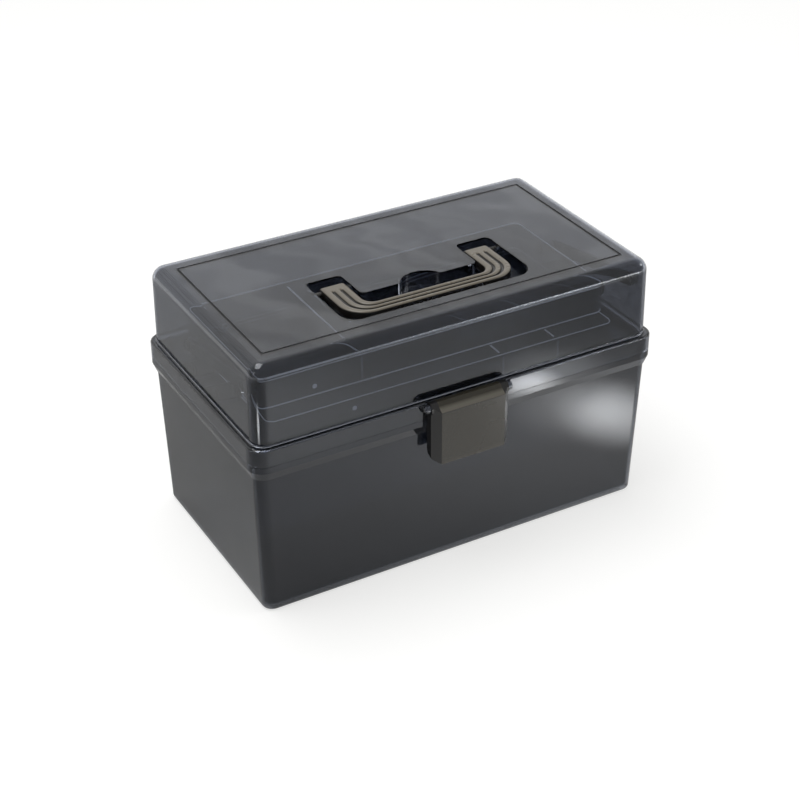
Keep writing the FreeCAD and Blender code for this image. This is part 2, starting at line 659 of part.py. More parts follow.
def make_lid_walls(body):
    top = (less(DOME_X, size("dome_draft")), less(DOME_Y, size("dome_draft")))
    dome = drafted_block(body, "dome", SHELF, (DOME_X, DOME_Y), LID_TOP, top)
    crown = value(LID_TOP)
    dome = round_edges(body, "dome_corners", dome, is_upright, size("dome_corner"))
    round_edges(body, "dome_crown", dome, lambda edge: lies_at(edge, crown), size("dome_top_round"))

    skirt = new_sketch(body, "skirt_outline", "XY_Plane", SKIRT_FOOT)
    draw_rectangle(skirt, minus(RIM_X), RIM_X, minus(RIM_Y), RIM_Y, size("rim_corner"))
    walls = pad(body, skirt, less(SKIRT_TOP, SKIRT_FOOT))
    rim_x = value(RIM_X)
    rim_y = value(RIM_Y)
    shoulder = value(SKIRT_TOP)
    walls = round_edges(
        body, "skirt_shoulder", walls,
        lambda edge: lies_at(edge, shoulder) and reaches(edge, rim_x, rim_y), size("skirt_round"))
    round_edges(
        body, "dome_foot", walls,
        lambda edge: lies_at(edge, shoulder)
        and not reaches(edge, rim_x - value(size("skirt_round")), rim_y - value(size("skirt_round"))),
        size("dome_foot_round"))

    hollow = new_sketch(body, "skirt_hollow", "XY_Plane", SKIRT_FOOT)
    inner_x = less(RIM_X, size("skirt_wall"))
    inner_y = less(RIM_Y, size("skirt_wall"))
    draw_rectangle(
        hollow, minus(inner_x), inner_x, minus(inner_y), inner_y,
        less(size("rim_corner"), size("skirt_wall")))
    pocket_up(body, hollow, less(SHELF, SKIRT_FOOT))

    low = (less(DOME_X, size("dome_wall")), less(DOME_Y, size("dome_wall")))
    high = (less(top[0], size("dome_wall")), less(top[1], size("dome_wall")))
    corner = less(size("dome_corner"), size("dome_wall"))
    hollow = hollow_block("dome_hollow", SHELF, low, LID_CEILING, high, corner)
    ceiling = value(LID_CEILING)
    round_edges(
        hollow, "hollow_crown", hollow.Tip, lambda edge: lies_at(edge, ceiling),
        less(size("dome_top_round"), size("dome_wall")))
    cut_hollow(body, hollow)


def make_handle_recess(body):
    underside = less(RECESS_FLOOR, size("dome_wall"))
    bowl_height = less(plus(LID_CEILING, half(size("dome_wall"))), underside)
    bowl = new_sketch(body, "recess_bowl", "XY_Plane", underside)
    draw_outline(bowl, recess_outline(size("dome_wall")))
    pad(body, bowl, bowl_height)
    scoop_bowl = new_sketch(body, "scoop_bowl", "XY_Plane", underside)
    draw_circle(scoop_bowl, "0", SCOOP_Y, plus(size("finger_scoop_radius"), size("dome_wall")))
    pad(body, scoop_bowl, bowl_height)

    hole = new_sketch(body, "recess_hole", "XY_Plane", RECESS_FLOOR)
    draw_outline(hole, recess_outline("0"))
    pocket_up(body, hole, size("recess_depth"))
    scoop = new_sketch(body, "finger_scoop", "XY_Plane", RECESS_FLOOR)
    draw_circle(scoop, "0", SCOOP_Y, size("finger_scoop_radius"))
    pocket_up(body, scoop, size("recess_depth"))


def panel_rectangle(sketch, inset):
    side = less(half(size("panel_length")), inset)
    front = less(half(size("panel_depth")), inset)
    draw_rectangle(sketch, minus(side), side, minus(front), front, less(size("panel_corner"), inset))


def make_panel_window(body):
    """The window that the top panel fills, and the fine groove round its edge."""
    window = new_sketch(body, "panel_window", "XY_Plane", LID_CEILING)
    panel_rectangle(window, size("panel_groove_width"))
    pocket_up(body, window, size("dome_wall"))
    groove = new_sketch(body, "panel_groove", "XY_Plane", less(LID_TOP, size("panel_groove_depth")))
    panel_rectangle(groove, "0")
    pocket_up(body, groove, size("panel_groove_depth"))


def make_lid():
    body = new_body("lid_shell")
    make_lid_walls(body)
    make_panel_window(body)

    side = half(size("latch_width"))
    clear = size("latch_notch_clearance")
    bore_along_x(
        body, "latch_notch", LATCH_AXIS_Y, LATCH_AXIS_Z, plus(size("latch_barrel"), clear),
        minus(plus(side, clear)), plus(size("latch_width"), clear, clear))
    ear_face = plus(side, size("latch_gap"))
    bosses(
        body, "latch_ear", [(LATCH_AXIS_Y, LATCH_AXIS_Z)], ear_face,
        plus(ear_face, size("latch_ear")), size("latch_ear_radius"))
    blind_holes(
        body, "latch_bore", [(LATCH_AXIS_Y, LATCH_AXIS_Z)], ear_face,
        plus(ear_face, size("latch_ear")), plus(size("latch_pin_radius"), size("pin_clearance")))

    web = [
        (less(RIM_Y, half(size("skirt_wall"))), SKIRT_FOOT),
        (HINGE_Y, SKIRT_FOOT),
        (HINGE_Y, plus(HINGE_Z, size("hinge_barrel"))),
        (less(RIM_Y, half(size("skirt_wall"))), plus(HINGE_Z, size("hinge_barrel"), size("hinge_web_lift"))),
    ]
    for number, station in enumerate(hinge_stations()):
        pad_knuckle(body, "lid_knuckle_%d" % number, less(station, half(size("knuckle_length"))), web)
    bore_along_x(
        body, "hinge_bore", HINGE_Y, HINGE_Z,
        plus(size("hinge_pin_radius"), size("pin_clearance")), minus(RIM_X), size("case_length"))

    place = [(minus(size("link_lid_forward")), size("link_lid_level"))]
    face = plus(LINK_OUTER, size("pivot_gap"))
    bosses(body, "link_boss", place, face, less(DOME_X, half(size("dome_wall"))), size("pivot_boss"))
    blind_holes(body, "link_bore", place, face, plus(face, half(size("pin_bite"))), PIN_HOLE)
    return body


def make_lid_panel():
    """The flat panel of the lid's top, with the handle's recess hanging from it."""
    body = new_body("lid_panel")
    plate = new_sketch(body, "plate", "XY_Plane", LID_CEILING)
    panel_rectangle(plate, size("panel_groove_width"))
    pad(body, plate, size("dome_wall"))
    make_handle_recess(body)
    blind_holes(
        body, "handle_bore", [(HANDLE_AXIS_Y, HANDLE_AXIS_Z)],
        less(RECESS_INNER_X, size("handle_pin_bite")), plus(RECESS_X, size("handle_pin_bite")), PIN_HOLE)
    return body


# Handle
# A flat U-shaped bail. Two grooves along it leave three ridges, and an eye at
# each leg's end turns on a pin in the wall of the recess.


def bail_outline(outer_inset, inner_inset, leg_end):
    """A U between two insets, each a pair: from the legs' sides and the front."""
    corners = []
    for side, (leg, grip, radius) in ((1, outer_inset), (-1, inner_inset)):
        half_width = less(LEG_X, leg)
        front = plus(HANDLE_FRONT, grip)
        row = [(minus(half_width), leg_end), (minus(half_width), front, radius)]
        row += [(half_width, front, radius), (half_width, leg_end)]
        corners += row if side > 0 else row[::-1]
    return corners


def ridge_inset(number, further):
    """Insets and bend radius a number of ridges in from the outer side."""
    share = "(%s / %s)" % (number, size("ridge_count"))
    leg = plus(share + " * " + size("leg_width"), further)
    grip = plus(share + " * " + size("grip_width"), further)
    bend = "(%s - %s * (%s - %s))" % (
        size("handle_outer_round"), share, size("handle_outer_round"), size("handle_inner_round"))
    return leg, grip, bend


def make_handle():
    body = new_body("handle")
    outline = new_sketch(body, "bail_outline", "XY_Plane", HANDLE_FOOT)
    whole = (size("leg_width"), size("grip_width"), size("handle_inner_round"))
    draw_outline(outline, bail_outline(("0", "0", size("handle_outer_round")), whole, HANDLE_AXIS_Y))
    bail = pad(body, outline, size("handle_thickness"))
    top = value(HANDLE_TOP)
    leg_end = value(HANDLE_AXIS_Y)
    round_edges(
        body, "bail_edges", bail,
        lambda edge: lies_at(edge, top) and edge.BoundBox.YMin < leg_end - CLOSE,
        size("handle_edge_round"))

    for side in SIDES:
        start = mirrored_span(side, LEG_INNER_X, LEG_X)
        eye = new_sketch(body, "eye_" + side, "YZ_Plane", start)
        draw_circle(eye, HANDLE_AXIS_Y, HANDLE_AXIS_Z, size("handle_eye"))
        pad(body, eye, size("leg_width"))

    groove_end = less(HANDLE_AXIS_Y, size("ridge_groove_start"))
    for number in range(1, RIDGES):
        before = minus(half(size("ridge_groove_width")))
        beyond = half(size("ridge_groove_width"))
        groove = new_sketch(
            body, "ridge_groove_%d" % number, "XY_Plane", less(HANDLE_TOP, size("ridge_groove_depth")))
        draw_outline(
            groove,
            bail_outline(ridge_inset(number, before), ridge_inset(number, beyond), groove_end))
        pocket_up(body, groove, size("ridge_groove_depth"))
    bore_along_x(
        body, "pin_bore", HANDLE_AXIS_Y, HANDLE_AXIS_Z, PIN_HOLE, minus(LEG_X), size("handle_length"))
    return body


# Latch
# One wide latch on the lid's front. Its barrel turns on a pin between two ears,
# and a rib inside comes under the rim lip when it is pushed shut.


def make_latch():
    body = new_body("latch")
    side = half(size("latch_width"))
    face = half(size("latch_plate_width"))
    crest = plus(LATCH_AXIS_Z, size("latch_barrel"))
    plate = new_sketch(body, "side_profile", "YZ_Plane", minus(side))
    draw_outline(plate, [
        (LATCH_FRONT, PLATE_FOOT),
        (LATCH_REAR, HEEL_FOOT),
        (LATCH_REAR, LATCH_AXIS_Z),
        (LATCH_AXIS_Y, LATCH_AXIS_Z),
        (LATCH_AXIS_Y, crest),
        (LATCH_FRONT, PLATE_TOP),
    ])
    block = pad(body, plate, size("latch_width"))
    front = value(LATCH_FRONT)
    bevel = body.newObject("PartDesign::Chamfer", "cheek_bevels")
    bevel.Base = (block, edge_names(
        block, lambda edge: is_upright(edge) and abs(edge.BoundBox.YMax - front) < CLOSE))
    bevel.setExpression("Size", size("latch_cheek_bevel"))
    doc.recompute()

    hollow = new_sketch(body, "hollow_profile", "YZ_Plane", minus(face))
    inner_front = plus(LATCH_FRONT, size("latch_wall"))
    draw_outline(hollow, [
        (inner_front, plus(HEEL_FOOT, size("latch_wall"))),
        (LATCH_REAR, plus(HEEL_FOOT, size("latch_wall"))),
        (LATCH_REAR, less(less(LATCH_AXIS_Z, size("latch_barrel")), size("latch_wall"))),
        (inner_front, less(less(LATCH_AXIS_Z, size("latch_barrel")), size("latch_wall"))),
    ])
    pocket_up(body, hollow, size("latch_plate_width"))

    catch = new_sketch(body, "catch_rib", "YZ_Plane", minus(face))
    catch_top = less(RIM_FOOT, size("latch_gap"))
    draw_outline(catch, [
        (plus(LATCH_FRONT, half(size("latch_wall"))), less(catch_top, size("latch_catch_height"))),
        (LATCH_REAR, less(catch_top, size("latch_wall"))),
        (LATCH_REAR, catch_top),
        (plus(LATCH_FRONT, half(size("latch_wall"))), catch_top),
    ])
    pad(body, catch, size("latch_plate_width"))

    barrel = new_sketch(body, "barrel", "YZ_Plane", minus(side))
    draw_circle(barrel, LATCH_AXIS_Y, LATCH_AXIS_Z, size("latch_barrel"))
    pad(body, barrel, size("latch_width"))
    bore_along_x(
        body, "pin_bore", LATCH_AXIS_Y, LATCH_AXIS_Z,
        plus(size("latch_pin_radius"), size("pin_clearance")), minus(side), size("latch_width"))
    return body


# Fold-out arms and lid links
# Flat bars with round ends. Two pairs of arms carry the trays as a parallelogram,
# and a link at each end pulls them up and back when the lid is raised.


def make_bar(label, side, plane, thickness, width, base, slope, pivots):
    """A flat bar from its first pivot towards the front, tilted up by the slope.

    Each pivot is a distance along the bar and the radius of its hole.
    """
    body = new_body(label)
    start = mirrored_span(side, plane, plus(plane, thickness))
    bar = new_sketch(body, label + "_outline", "YZ_Plane", start)
    draw_slot(bar, pivots[-1][0], half(width))
    pad(body, bar, thickness)
    holes = new_sketch(body, label + "_holes", "YZ_Plane", start)
    for distance, radius in pivots:
        draw_circle(holes, minus(distance), "0", radius)
    pocket_up(body, holes, thickness)
    body.Placement = Placement(Vector(0, 0, 0), Rotation(Vector(-1, 0, 0), value(slope)))
    body.setExpression("Placement.Rotation.Angle", slope)
    body.setExpression("Placement.Base.y", base[0])
    body.setExpression("Placement.Base.z", base[1])
    doc.recompute()
    return body


def make_arms():
    pivots = [("0", PIN_HOLE), (size("arm_middle"), PIN_HOLE), (size("arm_length"), PIN_HOLE)]
    return [
        make_bar(
            "%s_arm_%s" % (place, side), side, size("arm_plane"), size("arm_thickness"),
            size("arm_width"), (back, ARM_Z), size("arm_slope"), pivots)
        for place, back in ARM_BASES.items()
        for side in SIDES
    ]


def make_links():
    run = plus(size("link_lid_forward"), size("link_tray_back"))
    rise = less(size("link_lid_level"), size("link_tray_level"))
    length = "sqrt((%s) ^ 2 + (%s) ^ 2)" % (run, rise)
    slope = "atan((%s) / (%s))" % (rise, run)
    pivots = [("0", plus(PIN_HOLE, size("link_slack"))), (length, PIN_HOLE)]
    return [
        make_bar(
            "lid_link_" + side, side, size("link_plane"), size("link_thickness"), size("link_width"),
            (size("link_tray_back"), size("link_tray_level")), slope, pivots)
        for side in SIDES
    ]


# Trays
# Two open trays with bosses for the arms on their ends and ribs inside that hold
# loose dividers. The upper tray stands on the lower one when the case is shut.


def tray_bosses(body, name, length, places, plane):
    """Bosses on both ends of a tray, out to the pivot gap, bored for their pins."""
    inside = less(half(length), half(size("tray_wall")))
    face = less(plane, size("pivot_gap"))
    bosses(body, name, places, inside, face, size("pivot_boss"))
    blind_holes(body, name + "_bore", places, less(face, size("pin_bite")), face, PIN_HOLE)


def divider_guides(body, places, front, back, low, height):
    """Pairs of upright ribs on the front and back walls at each divider."""
    wall = size("tray_wall")
    guides = new_sketch(body, "divider_guides", "XY_Plane", plus(low, half(wall)))
    near = plus(half(size("divider_thickness")), size("divider_clearance"))
    for place in places:
        for first in (plus(place, near), less(less(place, near), size("guide_width"))):
            last = plus(first, size("guide_width"))
            front_face = minus(less(front, wall))
            back_face = less(back, wall)
            draw_rectangle(
                guides, first, last, less(front_face, half(wall)), plus(front_face, size("guide_reach")))
            draw_rectangle(
                guides, first, last, less(back_face, size("guide_reach")), plus(back_face, half(wall)))
    pad(body, guides, less(height, half(wall)))


def make_tray(label, length, front, back, low, height, dividers):
    body = new_body(label)
    side = half(length)
    wall = size("tray_wall")
    outside = new_sketch(body, "outside", "XY_Plane", low)
    draw_rectangle(outside, minus(side), side, minus(front), back, size("tray_corner"))
    block = pad(body, outside, height)
    level = value(low)
    round_edges(body, "foot", block, lambda edge: lies_at(edge, level), size("tray_foot_round"))
    inside = new_sketch(body, "inside", "XY_Plane", plus(low, wall))
    inner_side = less(side, wall)
    draw_rectangle(
        inside, minus(inner_side), inner_side, minus(less(front, wall)), less(back, wall),
        less(size("tray_corner"), wall))
    pocket_up(body, inside, less(height, wall))
    divider_guides(body, dividers, front, back, low, height)
    return body


def make_lower_tray():
    low = size("lower_tray_level")
    body = make_tray(
        "lower_tray", size("lower_tray_length"), size("lower_tray_front"), size("lower_tray_back"),
        low, size("lower_tray_height"),
        [size("lower_divider_first"), size("lower_divider_second")])
    places = [
        (plus(back, MIDDLE_STEP[0]), plus(ARM_Z, MIDDLE_STEP[1])) for back in ARM_BASES.values()]
    tray_bosses(body, "arm_boss", size("lower_tray_length"), places, size("arm_plane"))
    return body


def make_upper_tray():
    body = make_tray(
        "upper_tray", size("upper_tray_length"), size("upper_tray_front"), size("upper_tray_back"),
        size("upper_tray_level"), size("upper_tray_height"), [minus(size("upper_divider_place"))])
    places = [(plus(back, TIP_STEP[0]), plus(ARM_Z, TIP_STEP[1])) for back in ARM_BASES.values()]
    tray_bosses(body, "arm_boss", size("upper_tray_length"), places, size("arm_plane"))
    link_place = [(size("link_tray_back"), size("link_tray_level"))]
    tray_bosses(body, "link_boss", size("upper_tray_length"), link_place, size("link_plane"))
    return body


def make_divider(label, place, front, back, low, height):
    """A loose plate across a tray, on its floor and between two pairs of ribs."""
    body = new_body(label)
    wall = size("tray_wall")
    clear = size("divider_clearance")
    plate = new_sketch(body, label + "_outline", "XY_Plane", plus(low, wall))
    draw_rectangle(
        plate, less(place, half(size("divider_thickness"))), plus(place, half(size("divider_thickness"))),
        minus(less(less(front, wall), clear)), less(less(back, wall), clear))
    pad(body, plate, less(less(height, wall), size("divider_drop")))
    return body


def make_dividers():
    lower = (size("lower_tray_front"), size("lower_tray_back"))
    lower += (size("lower_tray_level"), size("lower_tray_height"))
    upper = (size("upper_tray_front"), size("upper_tray_back"))
    upper += (size("upper_tray_level"), size("upper_tray_height"))
    return [
        make_divider("lower_divider_first", size("lower_divider_first"), *lower),
        make_divider("lower_divider_second", size("lower_divider_second"), *lower),
        make_divider("upper_divider", minus(size("upper_divider_place")), *upper),
    ]


# Pins
# Plain rods for the lid hinges, the latch and the handle, and short headed pins
# for the arms and links. Each group is the pins that sit fast in one body.


def headed_pins(label, places, tip, head_near, inward):
    """Headed pins on both sides, from the head's near face to the tip.

    The head is on the inner side of the bar where inward is true.
    """
    pieces = []
    for side in SIDES:
        for y, z in places:
            shaft = (head_near, tip) if inward else (tip, head_near)
            head = (head_near, plus(head_near, size("head_thickness")))
            if not inward:
                head = (less(head_near, size("head_thickness")), head_near)
            for (near, far), radius in ((shaft, size("pin_radius")), (head, size("head_radius"))):
                pieces.append((mirrored_span(side, near, far), y, z, less(far, near), radius))
    return round_pin(label, pieces)


def make_pins():
    reach = plus("1.5 * " + size("knuckle_length"), size("knuckle_gap"))
    hinge_pins = round_pin("hinge_pins", [
        (less(station, reach), HINGE_Y, HINGE_Z, plus(reach, reach), size("hinge_pin_radius"))
        for station in hinge_stations()])

    latch_reach = plus(half(size("latch_width")), size("latch_gap"), size("latch_ear"))
    latch_pin = round_pin("latch_pin", [
        (minus(latch_reach), LATCH_AXIS_Y, LATCH_AXIS_Z, plus(latch_reach, latch_reach),
         size("latch_pin_radius"))])

    near = less(RECESS_INNER_X, size("handle_pin_bite"))
    far = plus(RECESS_X, size("handle_pin_bite"))
    handle_pins = round_pin("handle_pins", [
        (mirrored_span(side, near, far), HANDLE_AXIS_Y, HANDLE_AXIS_Z, less(far, near), size("pin_radius"))
        for side in SIDES])

    head_gap = plus(size("pivot_gap"), size("head_thickness"))
    base_places = [(back, ARM_Z) for back in ARM_BASES.values()]
    arm_base_pins = headed_pins(
        "arm_base_pins", base_places, plus(ARM_OUTER, size("pivot_gap"), size("pin_bite")),
        less(size("arm_plane"), head_gap), True)

    tray_tip = less(less(size("arm_plane"), size("pivot_gap")), size("pin_bite"))
    lower_places = [
        (plus(back, MIDDLE_STEP[0]), plus(ARM_Z, MIDDLE_STEP[1])) for back in ARM_BASES.values()]
    upper_places = [(plus(back, TIP_STEP[0]), plus(ARM_Z, TIP_STEP[1])) for back in ARM_BASES.values()]
    arm_head = plus(ARM_OUTER, head_gap)
    lower_tray_pins = headed_pins("lower_tray_pins", lower_places, tray_tip, arm_head, False)
    upper_tray_pins = headed_pins("upper_tray_pins", upper_places, tray_tip, arm_head, False)

    link_tray_pins = headed_pins(
        "link_tray_pins", [(size("link_tray_back"), size("link_tray_level"))],
        less(less(size("link_plane"), size("pivot_gap")), size("pin_bite")),
        plus(LINK_OUTER, head_gap), False)
    link_lid_pins = headed_pins(
        "link_lid_pins", [(minus(size("link_lid_forward")), size("link_lid_level"))],
        plus(LINK_OUTER, size("pivot_gap"), half(size("pin_bite"))),
        less(size("link_plane"), head_gap), True)
    return [
        hinge_pins, latch_pin, handle_pins, arm_base_pins,
        lower_tray_pins, upper_tray_pins, link_tray_pins, link_lid_pins]


# Assembly
# Every sub-part is made in place, with the lid shut, the trays down and the
# handle and latch folded flat.

nodes = [make_base(), make_lid(), make_lid_panel(), make_handle(), make_latch()]
nodes += make_arms()
nodes += make_links()
nodes += [make_lower_tray(), make_upper_tray()]
nodes += make_dividers()
nodes += make_pins()
doc.recompute()

failed = [item.Name for item in doc.Objects if {"Invalid", "Error"} & set(item.State)]
if failed:
    raise RuntimeError("features that failed: " + ", ".join(failed))
for node in nodes:
    if node.Shape.isNull() or not node.Shape.isValid() or not node.Shape.Solids:
        raise RuntimeError("no sound solid in " + node.Label)

os.makedirs("parts", exist_ok=True)
for node in nodes:
    node.Shape.exportStep("parts/%s.step" % node.Label)
    print(node.Label, len(node.Shape.Solids), round(node.Shape.Volume))
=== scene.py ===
from math import cos, pi, sin

import bmesh
import bpy
import numpy as np
from mathutils import Matrix, Vector


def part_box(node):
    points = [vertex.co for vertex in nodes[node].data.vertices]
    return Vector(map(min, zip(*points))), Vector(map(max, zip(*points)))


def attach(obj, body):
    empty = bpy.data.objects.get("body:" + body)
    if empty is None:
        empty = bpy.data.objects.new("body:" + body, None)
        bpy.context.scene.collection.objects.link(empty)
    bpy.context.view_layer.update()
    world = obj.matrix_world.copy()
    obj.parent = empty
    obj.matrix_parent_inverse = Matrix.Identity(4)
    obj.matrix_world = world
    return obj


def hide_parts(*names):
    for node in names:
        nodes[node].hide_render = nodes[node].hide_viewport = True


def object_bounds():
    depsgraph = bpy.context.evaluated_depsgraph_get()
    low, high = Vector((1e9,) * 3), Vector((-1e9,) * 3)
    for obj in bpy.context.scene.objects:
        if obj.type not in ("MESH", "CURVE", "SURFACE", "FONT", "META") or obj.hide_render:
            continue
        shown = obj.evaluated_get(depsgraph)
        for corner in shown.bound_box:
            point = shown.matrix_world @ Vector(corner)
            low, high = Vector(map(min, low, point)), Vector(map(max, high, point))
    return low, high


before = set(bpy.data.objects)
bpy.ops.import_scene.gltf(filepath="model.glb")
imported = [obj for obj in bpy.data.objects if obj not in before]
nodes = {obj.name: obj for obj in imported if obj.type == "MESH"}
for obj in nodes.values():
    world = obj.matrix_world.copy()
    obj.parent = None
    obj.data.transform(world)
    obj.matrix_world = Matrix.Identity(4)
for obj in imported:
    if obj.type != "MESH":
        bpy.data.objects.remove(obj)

cad_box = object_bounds()

# Base
# A deep tub with a lipped rim, one moulding in dark smoke-grey styrene. It is polished
# outside, ripples slowly where the wall shrank, and is rubbed dull round its foot.


def add_node(tree, kind, **values):
    """A shader node of that kind, with its sockets or properties set by name."""
    node = tree.nodes.new(kind)
    for name, value in values.items():
        socket = node.inputs.get(name.replace("_", " "))
        if socket is None:
            setattr(node, name, value)
        else:
            socket.default_value = value
    return node


def calculate(tree, operation, first, second=0.0):
    """A Math node over one or two numbers or sockets, giving its output socket."""
    node = tree.nodes.new("ShaderNodeMath")
    node.operation = operation
    for socket, value in zip(node.inputs, (first, second)):
        if isinstance(value, (int, float)):
            socket.default_value = value
        else:
            tree.links.new(value, socket)
    return node.outputs[0]


def spread(tree, value, low, high, start=0.0, end=1.0):
    """Numbers from low to high carried smoothly to the span from start to end."""
    node = add_node(tree, "ShaderNodeMapRange", interpolation_type="SMOOTHSTEP")
    for name, number in (("From Min", low), ("From Max", high),
                         ("To Min", start), ("To Max", end)):
        node.inputs[name].default_value = number
    tree.links.new(value, node.inputs["Value"])
    return node.outputs["Result"]


def noise(tree, vector, scale, detail, roughness=0.5):
    """A cloudy noise over the vector, about 0.5 on average."""
    node = add_node(tree, "ShaderNodeTexNoise", Scale=scale, Detail=detail, Roughness=roughness)
    tree.links.new(vector, node.inputs["Vector"])
    return node.outputs["Fac"]


def object_place(tree):
    """The point on the piece, in metres: the piece's own coordinates."""
    return tree.nodes.new("ShaderNodeTexCoord").outputs["Object"]


def object_axis(tree, axis):
    """The piece's own X, Y or Z, in metres."""
    split = tree.nodes.new("ShaderNodeSeparateXYZ")
    tree.links.new(object_place(tree), split.inputs["Vector"])
    return split.outputs[axis]


def new_group(name, inputs, outputs):
    """A shader group with number inputs, each a name and a default, and number outputs."""
    group = bpy.data.node_groups.new(name, "ShaderNodeTree")
    for label, default in inputs.items():
        socket = group.interface.new_socket(label, in_out="INPUT", socket_type="NodeSocketFloat")
        socket.default_value = default
    for label in outputs:
        group.interface.new_socket(label, in_out="OUTPUT", socket_type="NodeSocketFloat")
    start = group.nodes.new("NodeGroupInput")
    end = group.nodes.new("NodeGroupOutput")
    return group, start, end, object_place(group)


# Moulded skin: slow sink ripple plus fine orange peel, and cloudy patches.
moulded_skin, start, end, place = new_group(
    "moulded_skin", {"Ripple Scale": 16.0, "Peel Scale": 420.0, "Peel Share": 0.06},
    ("Height", "Haze"))
ripple = add_node(moulded_skin, "ShaderNodeTexNoise", Detail=1.5, Roughness=0.4)
peel = add_node(moulded_skin, "ShaderNodeTexNoise", Detail=2.0)
for texture, label in ((ripple, "Ripple Scale"), (peel, "Peel Scale")):
    moulded_skin.links.new(place, texture.inputs["Vector"])
    moulded_skin.links.new(start.outputs[label], texture.inputs["Scale"])
fine = calculate(moulded_skin, "MULTIPLY", peel.outputs["Fac"], start.outputs["Peel Share"])
skin_height = calculate(moulded_skin, "ADD", ripple.outputs["Fac"], fine)
moulded_skin.links.new(skin_height, end.inputs["Height"])
cloud = noise(moulded_skin, place, scale=11.0, detail=5.0, roughness=0.6)
moulded_skin.links.new(spread(moulded_skin, cloud, 0.3, 0.8), end.inputs["Haze"])

# Rub marks: short hairlines that run two ways, kept to a few patches.
hairline_ways = ((0.35, (14.0, 900.0, 300.0)), (-0.9, (20.0, 1100.0, 260.0)))  # turn, stretch
hairline_from, hairline_full = 0.68, 0.76
patch_from, patch_full = 0.5, 0.66

rub_marks, start, end, place = new_group("rub_marks", {"Amount": 1.0}, ("Mask",))
lines = []
for turn, stretch in hairline_ways:
    mapping = add_node(rub_marks, "ShaderNodeMapping",
                       Scale=stretch, Rotation=(turn, turn * 0.6, turn))
    rub_marks.links.new(place, mapping.inputs["Vector"])
    streak = noise(rub_marks, mapping.outputs["Vector"], scale=1.0, detail=2.0)
    lines.append(spread(rub_marks, streak, hairline_from, hairline_full))
patches = spread(rub_marks, noise(rub_marks, place, scale=24.0, detail=2.0),
                 patch_from, patch_full)
marks = calculate(rub_marks, "MULTIPLY", calculate(rub_marks, "MAXIMUM", *lines), patches)
marks = calculate(rub_marks, "MULTIPLY", marks, start.outputs["Amount"])
rub_marks.links.new(marks, end.inputs["Mask"])


def new_material(name, **values):
    """A material, its tree and its Principled shader, with plain sockets set by name."""
    material = bpy.data.materials.new(name)
    material.use_nodes = True
    tree = material.node_tree
    shader = tree.nodes["Principled BSDF"]
    for label, value in values.items():
        shader.inputs[label.replace("_", " ")].default_value = value
    return material, tree, shader


def place_group(tree, group, **values):
    """One use of a shader group, with its inputs set by name."""
    node = tree.nodes.new("ShaderNodeGroup")
    node.node_tree = group
    for label, value in values.items():
        node.inputs[label.replace("_", " ")].default_value = value
    return node


def blend_colours(tree, mask, first, second):
    """A colour that goes from the first to the second as the mask goes from 0 to 1."""
    mix = add_node(tree, "ShaderNodeMix", data_type="RGBA")
    tree.links.new(mask, mix.inputs["Factor"])
    colour_inputs = [item for item in mix.inputs if item.type == "RGBA"]
    for socket, colour in zip(colour_inputs, (first, second)):
        if isinstance(colour, tuple):
            socket.default_value = (*colour, 1.0)
        else:
            tree.links.new(colour, socket)
    return [item for item in mix.outputs if item.type == "RGBA"][0]


def add_bump(tree, shader, height, depth):
    """A bump as deep as that, in metres, where the height goes from 0 to 1."""
    bump = add_node(tree, "ShaderNodeBump", Strength=1.0, Distance=depth)
    tree.links.new(height, bump.inputs["Height"])
    tree.links.new(bump.outputs["Normal"], shader.inputs["Normal"])


polished_peel = 0.002    # orange peel's share of a polished wall's ripple
cloudy_dulling = 1.8     # how many times rougher a cloudy patch is
rub_dulling = 0.16       # roughness that a rub mark adds


def smoke_plastic(name, clear, cloudy, gloss, ripple_depth, ripple_scale, tint):
    """See-through smoke plastic: its colour is what light keeps on its way through a wall.

    The colour and the roughness are handed back, for the piece to add to, before
    finish_smoke joins them to the shader.
    """
    material, tree, shader = new_material(
        name, IOR=1.5, Transmission_Weight=1.0, Specular_Tint=(*tint, 1.0))
    skin = place_group(tree, moulded_skin, Ripple_Scale=ripple_scale, Peel_Share=polished_peel)
    rubs = place_group(tree, rub_marks)
    colour = blend_colours(tree, skin.outputs["Haze"], clear, cloudy)
    rough = spread(tree, skin.outputs["Haze"], 0.0, 1.0, gloss, gloss * cloudy_dulling)
    rubbed = calculate(tree, "MULTIPLY", rubs.outputs["Mask"], rub_dulling)
    add_bump(tree, shader, skin.outputs["Height"], ripple_depth)
    return material, tree, shader, colour, calculate(tree, "ADD", rough, rubbed)


def finish_smoke(tree, shader, colour, rough):
    """Joins the colour and the roughness to the shader."""
    tree.links.new(colour, shader.inputs["Base Color"])
    tree.links.new(rough, shader.inputs["Roughness"])


def paint(material, *names):
    """Puts the material on every slot of the CAD nodes named."""
    for name in names:
        for slot in nodes[name].material_slots:
            slot.material = material


base_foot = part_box("base_shell")[0][2]
scuff_height = 0.005
scuff_dulling = 0.2

material, tree, shader, colour, rough = smoke_plastic(
    "base_smoke", clear=(0.066, 0.073, 0.090), cloudy=(0.056, 0.062, 0.077), gloss=0.07,
    ripple_depth=0.0006, ripple_scale=14.0, tint=(0.94, 0.96, 1.0))
scuffs = spread(tree, object_axis(tree, "Z"), base_foot, base_foot + scuff_height,
                scuff_dulling, 0.0)
finish_smoke(tree, shader, colour, calculate(tree, "ADD", rough, scuffs))
paint(material, "base_shell")

# Plain pins
# Drawn steel rod, cut to length: the two hinge pins, the latch pin and, in blacked
# steel, the two handle pins. Each is pressed into the plastic, with fine marks round it.

drawing_stretch = (2600.0, 160.0, 160.0)    # the marks lie close along the rod, which is X
stain_scale = 240.0
stain_dulling = 0.1


